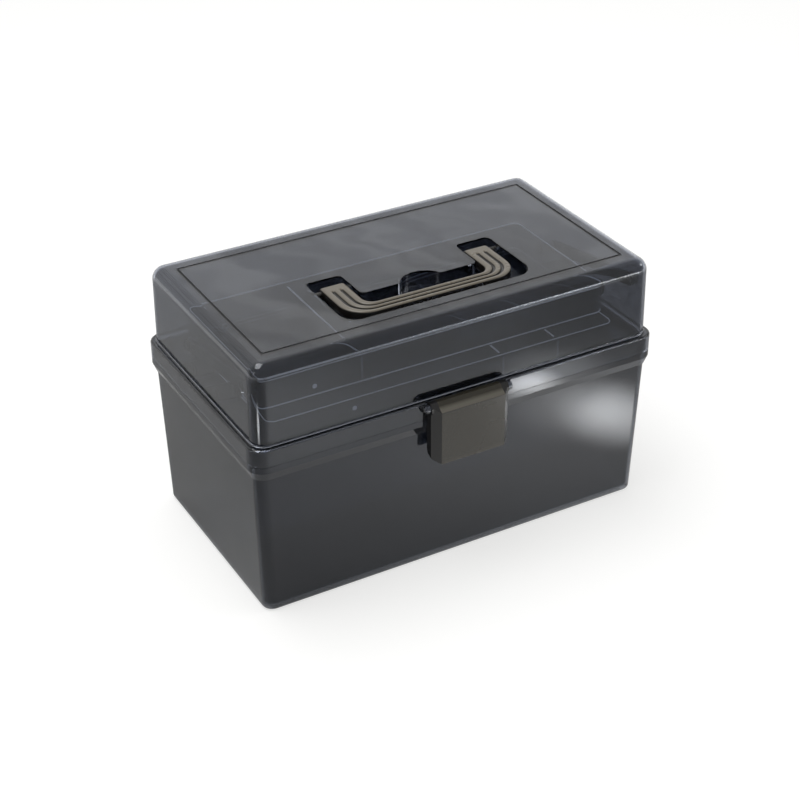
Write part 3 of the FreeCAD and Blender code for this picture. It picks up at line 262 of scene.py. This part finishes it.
def drawn_steel(name, colour, dull):
    """Metal with close rings from drawing, and dull stains in scattered patches."""
    material, tree, shader = new_material(name, Metallic=1.0)
    place = object_place(tree)
    mapping = add_node(tree, "ShaderNodeMapping", Scale=drawing_stretch)
    tree.links.new(place, mapping.inputs["Vector"])
    rings = noise(tree, mapping.outputs["Vector"], scale=1.0, detail=3.0)
    stain = spread(tree, noise(tree, place, stain_scale, detail=3.0), 0.45, 0.7)
    tree.links.new(blend_colours(tree, stain, colour, dull), shader.inputs["Base Color"])
    ringed = spread(tree, rings, 0.3, 0.7, start=0.22, end=0.36)
    stained = calculate(tree, "MULTIPLY", stain, stain_dulling)
    tree.links.new(calculate(tree, "ADD", ringed, stained), shader.inputs["Roughness"])
    add_bump(tree, shader, rings, depth=0.00004)
    return material


steel = drawn_steel("drawn_steel", colour=(0.56, 0.56, 0.55), dull=(0.36, 0.35, 0.33))
paint(steel, "hinge_pins", "latch_pin")
blacked = drawn_steel("blacked_steel", colour=(0.085, 0.083, 0.08), dull=(0.045, 0.043, 0.04))
paint(blacked, "handle_pins")

# Arms, links and their rivets
# Flat bars with round ends, moulded in dark grey plastic, that fold the trays out. Each
# turns on short headed rivets of the same grey, rubbed brighter where the bars slide.

slow_grain = 0.05        # the slow ripple's scale, as a share of the grain's
grain_share = 0.5
cloudy_shade = 0.86      # how much of its colour a cloudy patch keeps
cloudy_haze = 0.12       # roughness that a cloudy patch adds
worn_share = 0.8
worn_shine = 0.1         # roughness that a rub mark takes away


def dark_plastic(name, colour, worn, gloss, grain_scale, grain_depth):
    """Coloured plastic with a fine grain, worn paler and shinier in scattered patches."""
    material, tree, shader = new_material(name, IOR=1.5)
    skin = place_group(tree, moulded_skin, Ripple_Scale=grain_scale * slow_grain,
                       Peel_Scale=grain_scale, Peel_Share=grain_share)
    rubs = place_group(tree, rub_marks, Amount=worn_share)
    shaded = tuple(part * cloudy_shade for part in colour)
    base = blend_colours(tree, skin.outputs["Haze"], colour, shaded)
    base = blend_colours(tree, rubs.outputs["Mask"], base, worn)
    tree.links.new(base, shader.inputs["Base Color"])
    rough = spread(tree, skin.outputs["Haze"], 0.0, 1.0, gloss, gloss + cloudy_haze)
    shine = calculate(tree, "MULTIPLY", rubs.outputs["Mask"], worn_shine)
    tree.links.new(calculate(tree, "SUBTRACT", rough, shine), shader.inputs["Roughness"])
    add_bump(tree, shader, skin.outputs["Height"], grain_depth)
    return material, tree, shader, base


bar_grey = dark_plastic("bar_grey", colour=(0.050, 0.050, 0.053), worn=(0.11, 0.11, 0.115),
                        gloss=0.34, grain_scale=900.0, grain_depth=0.00010)[0]
rivet_grey = dark_plastic("rivet_grey", colour=(0.036, 0.036, 0.038), worn=(0.09, 0.09, 0.095),
                          gloss=0.26, grain_scale=1500.0, grain_depth=0.00006)[0]
for side in ("left", "right"):
    paint(bar_grey, "front_arm_" + side, "rear_arm_" + side, "lid_link_" + side)
paint(rivet_grey, "arm_base_pins", "lower_tray_pins", "upper_tray_pins",
      "link_tray_pins", "link_lid_pins")

# Trays
# Two shallow trays in the same smoke plastic, a shade clearer. Each has a bead round its rim,
# and the upper one round its foot, and a small gate mark, all painted highlights that glow a
# little.

tray_wall = 0.0018
tray_corner = 0.006
tray_sides = 0.133       # half the length over the walls
lower_tray_front, lower_tray_back, lower_tray_top = -0.0646, 0.058, 0.1354
upper_tray_front, upper_tray_back, upper_tray_top = -0.052, 0.060, 0.1582
bead_half = 0.0004
foot_bulge = 0.0003
rim_gap = 0.00003        # keeps a bead's flat foot off the wall's top
face_gap = 0.00002       # keeps trim off the face that it stands on

material, tree, shader, colour, rough = smoke_plastic(
    "tray_smoke", clear=(0.36, 0.375, 0.41), cloudy=(0.31, 0.323, 0.352), gloss=0.05,
    ripple_depth=0.0003, ripple_scale=20.0, tint=(0.93, 0.96, 1.0))
finish_smoke(tree, shader, colour, rough)
paint(material, "lower_tray", "upper_tray")

# Painted highlight: a pale material that glows a little, for the tray beads, gate marks and
# divider edges, standing in for light caught at their edges.
painted_glow, tree, shader = new_material(
    "tray_painted_glow", IOR=1.5, Specular_Tint=(0.93, 0.96, 1.0, 1.0),
    Emission_Color=(0.82, 0.9, 1.0, 1.0), Emission_Strength=0.2)
skin = place_group(tree, moulded_skin, Ripple_Scale=40.0)
pale = blend_colours(tree, skin.outputs["Haze"], (0.90, 0.93, 0.98), (0.74, 0.765, 0.81))
tree.links.new(pale, shader.inputs["Base Color"])
tree.links.new(spread(tree, skin.outputs["Haze"], 0.0, 1.0, start=0.12, end=0.26),
               shader.inputs["Roughness"])
add_bump(tree, shader, skin.outputs["Height"], depth=0.0002)


def new_piece(name, points, closed_along, body, material):
    """A closed surface from a grid of points, rows along it and columns round it.

    Neighbouring rows and columns are joined by quads. The columns always close on
    themselves, and the rows do where closed_along is true. Rows that shrink to a
    point or a line close the ends. The whole is turned outwards by its signed volume.
    """
    rows, columns = points.shape[:2]
    index = np.arange(rows * columns).reshape(rows, columns)
    following = np.roll(index, -1, axis=0) if closed_along else index[1:]
    here = index if closed_along else index[:-1]
    quads = np.stack((here, np.roll(here, -1, 1), np.roll(following, -1, 1), following), -1)
    quads = quads.reshape(-1, 4)
    flat = points.reshape(-1, 3)
    first, second, third, fourth = (flat[quads[:, k]] for k in range(4))
    volume = (np.einsum("ij,ij->", first, np.cross(second, third))
              + np.einsum("ij,ij->", first, np.cross(third, fourth)))
    if volume < 0:
        quads = quads[:, ::-1]
    mesh = bpy.data.meshes.new(name)
    mesh.from_pydata(flat.tolist(), [], quads.tolist())
    shell = bmesh.new()
    shell.from_mesh(mesh)
    bmesh.ops.remove_doubles(shell, verts=shell.verts, dist=1e-7)
    shell.to_mesh(mesh)
    shell.free()
    mesh.shade_smooth()
    piece = bpy.data.objects.new(name, mesh)
    bpy.context.scene.collection.objects.link(piece)
    mesh.materials.append(material)
    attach(piece, body)
    return piece


def tray_outline(front, back):
    """Points round a tray on the middle of its wall, and the outward direction at each.

    Round the corners the path turns on the wall's middle radius, and between them it
    runs straight.
    """
    radius = tray_corner - tray_wall / 2
    right = tray_sides - tray_corner
    centres = ((right, back - tray_corner), (-right, back - tray_corner),
               (-right, front + tray_corner), (right, front + tray_corner))
    turn = np.linspace(0, pi / 2, 9)
    path, outward = [], []
    for quarter, centre in enumerate(centres):
        angle = turn + quarter * pi / 2
        normal = np.stack((np.cos(angle), np.sin(angle)), -1)
        path.append(np.array(centre) + radius * normal)
        outward.append(normal)
    return np.concatenate(path), np.concatenate(outward)


def tray_bead(name, front, back, across, up, body):
    """A small profile, across and up, carried round a tray's outline."""
    path, outward = tray_outline(front, back)
    points = np.empty((len(path), len(across), 3))
    points[..., :2] = path[:, None] + outward[:, None] * across[None, :, None]
    points[..., 2] = up
    return new_piece(name, points, True, body, painted_glow)


def rim_bead(name, front, back, top, height, body):
    """Half an ellipse on a flat foot, on top of the wall along its outer edge."""
    round_it = np.linspace(0, pi, 9)
    across = np.concatenate((np.cos(round_it), (-0.5, 0.5))) * bead_half
    across += tray_wall / 2 - bead_half
    up = np.concatenate((np.sin(round_it) * height, (0.0, 0.0)))
    return tray_bead(name, front, back, across, top + rim_gap + up, body)


def foot_bead(name, front, back, level, height, body):
    """Half an ellipse that stands out from the wall's outer face at that level."""
    round_it = np.linspace(-pi / 2, pi / 2, 9)
    across = tray_wall / 2 + face_gap + foot_bulge * np.cos(round_it)
    return tray_bead(name, front, back, across, level + height / 2 * np.sin(round_it), body)


rim_bead("lower_tray_bead", lower_tray_front, lower_tray_back, lower_tray_top,
         height=0.0005, body="lower_tray")
rim_bead("upper_tray_bead", upper_tray_front, upper_tray_back, upper_tray_top,
         height=0.0008, body="upper_tray")
foot_bead("upper_tray_foot_bead", upper_tray_front, upper_tray_back,
          level=0.1387, height=0.0010, body="upper_tray")


def gate_mark(name, x, face, z, body):
    """A ring and a nub turned about Y: how far each stands out follows its radius."""
    radius = np.array((0.0, 0.0, 0.35, 0.55, 0.7, 1.15, 1.3, 1.6, 1.75, 1.75, 0.0)) / 1000
    out = np.array((0.0, 0.55, 0.5, 0.3, 0.12, 0.12, 0.3, 0.3, 0.12, 0.0, 0.0)) / 1000
    angle = np.linspace(0, 2 * pi, 24, endpoint=False)
    points = np.empty((len(radius), len(angle), 3))
    points[..., 0] = x + radius[:, None] * np.cos(angle)
    points[..., 1] = face - face_gap - out[:, None]
    points[..., 2] = z + radius[:, None] * np.sin(angle)
    return new_piece(name, points, False, body, painted_glow)


gate_mark("upper_tray_gate_mark", x=-0.0934, face=upper_tray_front, z=0.1450, body="upper_tray")
gate_mark("lower_tray_gate_mark", x=-0.0713, face=lower_tray_front, z=0.1283, body="lower_tray")

# Dividers
# Loose flat plates between the trays' ribs, cut from the same plastic. Their ends carry pale
# strips that glow a little: painted highlights for light that leaves a clear plate at its edges.

edge_bulge = 0.0002
edge_corner = 0.0015

material, tree, shader, colour, rough = smoke_plastic(
    "divider_smoke", clear=(0.40, 0.42, 0.46), cloudy=(0.34, 0.357, 0.39), gloss=0.06,
    ripple_depth=0.0002, ripple_scale=24.0, tint=(0.93, 0.96, 1.0))
finish_smoke(tree, shader, colour, rough)
paint(material, "lower_divider_first", "lower_divider_second", "upper_divider")


def divider_edge(divider, body):
    """A half-round strip of painted highlight carried up a divider's front, along its top and
    down its back.

    The path is three straight runs joined by quarter circles in the plate's own plane.
    Across it, the strip is half an ellipse as wide as the plate.
    """
    low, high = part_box(divider)
    turn = np.linspace(0, pi / 2, 7)
    front, back, top = low[1] + edge_corner, high[1] - edge_corner, high[2] - edge_corner
    rise, level = edge_corner * np.sin(turn), edge_corner * np.cos(turn)
    first = np.stack((front - level, top + rise), -1)
    second = np.stack((back + rise, top + level), -1)
    path = np.concatenate(([(low[1], low[2])], first, second, [(high[1], low[2])]))
    along = np.gradient(path, axis=0)
    along /= np.linalg.norm(along, axis=1)[:, None]
    outward = np.stack((-along[:, 1], along[:, 0]), -1)
    round_it = np.linspace(0, pi, 9)
    across = (high[0] - low[0]) / 2 * np.cos(round_it)
    out = face_gap + edge_bulge * np.sin(round_it)
    points = np.empty((len(path), len(across), 3))
    points[..., 0] = (low[0] + high[0]) / 2 + across[None]
    points[..., 1] = path[:, None, 0] + outward[:, None, 0] * out[None]
    points[..., 2] = path[:, None, 1] + outward[:, None, 1] * out[None]
    ends = points.mean(axis=1, keepdims=True).repeat(len(across), axis=1)
    points = np.concatenate((ends[:1], points, ends[-1:]))
    return new_piece(divider + "_edge", points, False, body, painted_glow)


divider_edge("lower_divider_first", "lower_tray")
divider_edge("lower_divider_second", "lower_tray")
divider_edge("upper_divider", "upper_tray")

# Lid
# A tall dome on a skirt, moulded in clear smoke plastic, with a flat panel set flush in
# its top that holds the handle's recess. The seam round the panel is a fine groove, painted dark
# with shade and dust.

panel_half = (0.1351, 0.0656)
groove_half, groove_edge = 0.0006, 0.0010
groove_dust_and_shade = (0.002, 0.002, 0.003)
groove_dulling = 0.7

material, tree, shader, colour, rough = smoke_plastic(
    "lid_smoke", clear=(0.218, 0.233, 0.272), cloudy=(0.193, 0.207, 0.242), gloss=0.014,
    ripple_depth=0.0004, ripple_scale=16.0, tint=(0.95, 0.97, 1.0))
past_x, past_y = (
    calculate(tree, "SUBTRACT", calculate(tree, "ABSOLUTE", object_axis(tree, axis)), half)
    for axis, half in zip("XY", panel_half))
from_seam = calculate(tree, "ABSOLUTE", calculate(tree, "MAXIMUM", past_x, past_y))
# Painted shade and dust: the seam's groove on the top goes near-black.
groove = spread(tree, from_seam, groove_half, groove_edge, 1.0, 0.0)
lid_top = cad_box[1][2]
on_top = spread(tree, object_axis(tree, "Z"), lid_top - 0.005, lid_top - 0.004)
groove = calculate(tree, "MULTIPLY", groove, on_top)
colour = blend_colours(tree, groove, colour, groove_dust_and_shade)
dulled = calculate(tree, "MULTIPLY", groove, groove_dulling)
finish_smoke(tree, shader, colour, calculate(tree, "ADD", rough, dulled))
paint(material, "lid_shell", "lid_panel")

# Handle
# A flat U-shaped bail in satin taupe plastic, with three rounded ridges side by side
# that run from leg to leg. Each leg ends in a plain pad and an eye on its pin.

bail_half_length = 0.0645
bail_front = -0.0515
leg_width = 0.018
grip_width = 0.012
outer_bend = 0.019
inner_bend = 0.008
eye_place = (-0.008, 0.183)
eye_radius = 0.004
bail_top = 0.187
bail_foot = 0.180
ridge_depth = 0.0017
ridge_gap = 0.10                            # as a share of the width
ridge_roundness = 2.6
ridges_start = (-0.0135, -0.0152)           # y where the grooves begin, and where they are full
near_side_shares = (0.5, 0.03, 0.0, 0.0)    # foot's middle, foot's edge, and up the side
near_side_levels = (0.0, 0.0, 0.08, 0.45)
far_side_shares = (1.0, 1.0, 0.97)
far_side_levels = (0.45, 0.08, 0.0)


def bail_edge(inset, bend, front):
    """One side of the U, right leg's nose to the middle of the grip, as x and y.

    The nose is a quarter turn about the eye, the leg runs straight to the bend, the
    bend is a quarter circle, and the grip runs straight to the middle.
    """
    side = bail_half_length - inset
    nose = np.linspace(pi / 2, 0, 9)[:-1]
    turn = np.linspace(0, pi / 2, 22)
    leg = np.linspace(eye_place[0], front + bend, 30)[:-1]
    grip = np.linspace(side - bend, 0, 24)[1:]
    x = np.concatenate((np.full(len(nose) + len(leg), side),
                        side - bend + bend * np.cos(turn), grip))
    y = np.concatenate((eye_place[0] + eye_radius * np.sin(nose), leg,
                        front + bend - bend * np.sin(turn), np.full(len(grip), front)))
    return np.stack((x, y), -1)


def handle_bail():
    """The ridged profile carried along the U.

    Across, each ridge's height falls from its crown as a superellipse does, to a flat
    groove between ridges. Along, the grooves fade out before the pads, and at the nose
    top and foot close on a circle about the eye. Left is the mirror of right.
    """
    outer = bail_edge(0.0, outer_bend, bail_front)
    inner = bail_edge(leg_width, inner_bend, bail_front + grip_width)
    lean = -np.cos(np.linspace(0, pi, 15))
    fall = 1 - (1 - np.abs(lean) ** ridge_roundness) ** (1 / ridge_roundness)
    share, edge_drop, groove_drop = [], [], []
    for ridge in range(3):
        low = ridge / 3 + (ridge_gap / 2 if ridge > 0 else 0)
        high = (ridge + 1) / 3 - (ridge_gap / 2 if ridge < 2 else 0)
        shoulder = np.zeros(len(lean), bool)
        if ridge != 1:
            shoulder = (lean < 0) if ridge == 0 else (lean > 0)
        share.append((low + high) / 2 + lean * (high - low) / 2)
        edge_drop.append(np.where(shoulder, fall, 0))
        groove_drop.append(np.where(shoulder, 0, fall))
    near, far = len(near_side_levels), len(far_side_levels)
    share = np.concatenate((near_side_shares, *share, far_side_shares))
    edge_drop = np.concatenate((np.zeros(near), *edge_drop, np.zeros(far)))
    groove_drop = np.concatenate((np.zeros(near), *groove_drop, np.zeros(far)))
    level = np.ones(len(share))
    level[:near] = near_side_levels
    level[-far:] = far_side_levels

    from_eye = outer[:, 1] - eye_place[0]
    swell = np.sqrt(np.clip(eye_radius ** 2 - from_eye ** 2, 0, None))
    top = np.where(from_eye > 0, eye_place[1] + swell, bail_top)
    foot = np.minimum(bail_foot, eye_place[1] - swell)
    foot = np.where(from_eye > 0, eye_place[1] - swell, foot)
    fade = (ridges_start[0] - outer[:, 1]) / (ridges_start[0] - ridges_start[1])
    fade = np.clip(fade, 0, 1)
    fade = fade * fade * (3 - 2 * fade)
    thick = (top - foot)[:, None]
    drop = edge_drop[None] + fade[:, None] * groove_drop[None]
    drop *= ridge_depth / (bail_top - bail_foot)
    right = np.empty((len(outer), len(share), 3))
    right[..., :2] = outer[:, None] + (inner - outer)[:, None] * share[None, :, None]
    right[..., 2] = foot[:, None] + thick * (level[None] - drop)
    left = right[:-1][::-1] * np.array((-1.0, 1.0, 1.0))
    return np.concatenate((right, left))


taupe, tree, shader, colour = dark_plastic(
    "satin_taupe", colour=(0.129, 0.112, 0.085), worn=(0.20, 0.177, 0.141),
    gloss=0.23, grain_scale=1300.0, grain_depth=0.00009)
# Painted shade: below the ridge crowns, in the grooves and down the sides, the colour goes
# near-black.
groove_and_side_shade = spread(tree, object_axis(tree, "Z"), bail_top - 0.0010, bail_top - 0.0004, 1.0, 0.0)
tree.links.new(blend_colours(tree, groove_and_side_shade, colour, (0.010, 0.0085, 0.007)),
               shader.inputs["Base Color"])
bail = new_piece("handle_bail", handle_bail(), False, "handle", taupe)
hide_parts("handle")

# Latch
# One wide snap latch in dark olive-brown plastic, semi-gloss and finely grained. Painted
# highlights lie on the sloping band and the lower lip, a painted shadow under the fold, and
# painted shade on the cheeks.

latch_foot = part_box("latch")[0][2]
latch_fold = latch_foot + 0.0395            # where the sloping band meets the plate
latch_half = 0.0244                         # half the plate's width, between the cheeks
lip_height = 0.004
# Painted shadow: a near-black line just below the fold, under the band's edge.
fold_shadow = (-0.0010, -0.0005, -0.0002, 0.0, (0.006, 0.005, 0.004))
# Painted highlight: the sloping band above the fold is paler, fading towards its top.
band_highlight = (0.0, 0.0002, 0.0012, 0.0034, (0.110, 0.102, 0.082))

olive, tree, shader, colour = dark_plastic(
    "dark_olive", colour=(0.023, 0.019, 0.0105), worn=(0.048, 0.040, 0.025),
    gloss=0.22, grain_scale=1100.0, grain_depth=0.00008)
height = object_axis(tree, "Z")
# Painted highlight: paler along the lower lip, fading upwards.
lip = spread(tree, height, latch_foot, latch_foot + lip_height, 0.5, 0.0)
colour = blend_colours(tree, lip, colour, (0.052, 0.044, 0.032))
# Each band paints light onto the latch: shadow under the fold, highlight on the slope.
for begins, full, fades, ends, painted_colour in (fold_shadow, band_highlight):
    band = calculate(
        tree, "MULTIPLY",
        spread(tree, height, latch_fold + begins, latch_fold + full),
        spread(tree, height, latch_fold + fades, latch_fold + ends, 1.0, 0.0))
    colour = blend_colours(tree, band, colour, painted_colour)
# Painted shade: the cheeks beside the plate go near-black.
beside = calculate(tree, "ABSOLUTE", object_axis(tree, "X"))
cheek = spread(tree, beside, latch_half - 0.0003, latch_half)
colour = blend_colours(tree, cheek, colour, (0.007, 0.0065, 0.0065))
tree.links.new(colour, shader.inputs["Base Color"])
paint(olive, "latch")

# Studio
# A pale floor that fades to a white room. Large soft lamps hang above, at the left and
# at the front right. Soft bands in the room behind give the lid's top its sheen.

floor_span = 8.0
floor_seen, floor_mirrored, floor_through = 0.62, 0.05, 0.1
far_from, far_to, far_level = 0.45, 0.9, 1.1
light_pools = (          # x and y on the floor, reach, and level in the middle
    (0.192, -0.168, 0.055, 6.5), (0.166, -0.195, 0.06, 1.4), (0.165, -0.17, 0.22, 0.45),
    (0.163, -0.252, 0.035, 8.0), (0.19, -0.254, 0.06, 1.4), (0.85, -1.3, 0.45, 22.0),
    (0.02, -0.22, 0.4, 0.6), (0.12, -0.48, 0.13, 2.0), (0.22, -0.48, 0.13, 2.6),
    (0.33, -0.49, 0.14, 3.0), (-0.04, -0.33, 0.14, 0.5), (-0.36, -0.205, 0.05, 10.0))

floor_mesh = bpy.data.meshes.new("floor")
floor_mesh.from_pydata([(-floor_span, -floor_span, 0), (floor_span, -floor_span, 0),
                        (floor_span, floor_span, 0), (-floor_span, floor_span, 0)],
                       [], [(0, 1, 2, 3)])
floor = bpy.data.objects.new("floor", floor_mesh)
bpy.context.scene.collection.objects.link(floor)
material, tree, shader = new_material("floor_white")
tree.nodes.remove(shader)
diffuse = add_node(tree, "ShaderNodeBsdfDiffuse", Color=(0.45, 0.45, 0.447, 1))
glow = add_node(tree, "ShaderNodeEmission", Color=(1.0, 1.0, 0.99, 1))
rays = tree.nodes.new("ShaderNodeLightPath")
strength = calculate(tree, "MULTIPLY", rays.outputs["Is Camera Ray"], floor_seen)
for ray, share in (("Is Glossy Ray", floor_mirrored), ("Is Transmission Ray", floor_through)):
    strength = calculate(tree, "MAXIMUM", strength,
                         calculate(tree, "MULTIPLY", rays.outputs[ray], share))
floor_place = object_place(tree)
far = add_node(tree, "ShaderNodeVectorMath", operation="LENGTH")
tree.links.new(floor_place, far.inputs[0])
pools = spread(tree, far.outputs["Value"], far_from, far_to, 0.0, far_level)
for x, y, reach, level in light_pools:
    away = add_node(tree, "ShaderNodeVectorMath", operation="DISTANCE")
    tree.links.new(floor_place, away.inputs[0])
    away.inputs[1].default_value = (x, y, 0)
    pool = spread(tree, away.outputs["Value"], 0.0, reach, level, 0.0)
    pools = calculate(tree, "ADD", pool, pools)
pools = calculate(tree, "MULTIPLY", pools, rays.outputs["Is Glossy Ray"])
tree.links.new(calculate(tree, "ADD", strength, pools), glow.inputs["Strength"])
both = tree.nodes.new("ShaderNodeAddShader")
tree.links.new(diffuse.outputs[0], both.inputs[0])
tree.links.new(glow.outputs[0], both.inputs[1])
tree.links.new(both.outputs[0], tree.nodes["Material Output"].inputs["Surface"])
floor.data.materials.append(material)

# The room is white to the eye and through the plastic. Mirrored, it is dim in front and
# bright behind, in soft slanting bands, and as light on the object it is half as strong.
band_turn = (21.0, 36.0)
behind_from, behind_to = 0.2, 0.62
dim_level, bright_level = 0.55, 1.12
band_dim, band_bright = 0.8, 1.12
room_light = 0.5

world = bpy.data.worlds.new("studio")
bpy.context.scene.world = world
world.use_nodes = True
tree = world.node_tree
background = tree.nodes["Background"]
background.inputs["Color"].default_value = (1, 1, 1, 1)
rays = tree.nodes.new("ShaderNodeLightPath")
mirror_ray = rays.outputs["Is Glossy Ray"]
direction = tree.nodes.new("ShaderNodeSeparateXYZ")
tree.links.new(tree.nodes.new("ShaderNodeTexCoord").outputs["Generated"],
               direction.inputs["Vector"])
slant = calculate(tree, "SUBTRACT",
                  calculate(tree, "MULTIPLY", direction.outputs["X"], band_turn[0]),
                  calculate(tree, "MULTIPLY", direction.outputs["Z"], band_turn[1]))
bands = add_node(tree, "ShaderNodeTexNoise", noise_dimensions="1D", Scale=1.0, Detail=1.0)
tree.links.new(slant, bands.inputs["W"])
behind = spread(tree, direction.outputs["Y"], behind_from, behind_to, dim_level, bright_level)
banded = spread(tree, bands.outputs["Fac"], 0.35, 0.65, band_dim, band_bright)
mirrored = calculate(tree, "MULTIPLY", mirror_ray, calculate(tree, "MULTIPLY", behind, banded))
seen = calculate(tree, "MAXIMUM", rays.outputs["Is Camera Ray"],
                 rays.outputs["Is Transmission Ray"])
unseen = calculate(tree, "SUBTRACT", calculate(tree, "SUBTRACT", 1.0, seen), mirror_ray)
plain = calculate(tree, "MULTIPLY", calculate(tree, "MAXIMUM", unseen, 0.0), room_light)
lit = calculate(tree, "ADD", calculate(tree, "MAXIMUM", seen, mirrored), plain)
tree.links.new(lit, background.inputs["Strength"])


def soft_lamp(name, place, target, width, height, power):
    """A plain rectangular lamp that faces its target."""
    data = bpy.data.lights.new(name, "AREA")
    data.shape = "RECTANGLE"
    data.size = width
    data.size_y = height
    data.energy = power
    lamp = bpy.data.objects.new(name, data)
    lamp.location = place
    facing = Vector(target) - Vector(place)
    lamp.rotation_euler = facing.to_track_quat("-Z", "Y").to_euler()
    bpy.context.scene.collection.objects.link(lamp)


soft_lamp("top_lamp", place=(-0.3, 0.3, 1.6), target=(0, 0, 0.1),
          width=1.2, height=0.8, power=15)
soft_lamp("left_lamp", place=(-1.6, -0.3, 0.9), target=(0, 0, 0.1),
          width=0.3, height=0.5, power=1.4)
soft_lamp("front_lamp", place=(2.0, -0.8, 1.3), target=(0.05, 0, 0.12),
          width=0.8, height=0.6, power=8)

# Camera
# The photograph's view: from the front left and above, through a long lens.

yaw, pitch, roll = 0.510957, 0.550224, -0.0058537
camera_place = Vector((-0.5248, -0.9347, 0.7353))

camera_data = bpy.data.cameras.new("camera")
camera_data.sensor_width = 36
camera_data.lens = 79.9
camera = bpy.data.objects.new("camera", camera_data)
forward = Vector((sin(yaw) * cos(pitch), cos(yaw) * cos(pitch), -sin(pitch)))
level_right = forward.cross(Vector((0, 0, 1))).normalized()
level_up = level_right.cross(forward)
right = level_right * cos(roll) + level_up * sin(roll)
up = level_up * cos(roll) - level_right * sin(roll)
turned = Matrix((right, up, -forward)).transposed().to_4x4()
camera.matrix_world = Matrix.Translation(camera_place) @ turned
bpy.context.scene.collection.objects.link(camera)
bpy.context.scene.camera = camera
bpy.context.scene.view_settings.view_transform = "Standard"
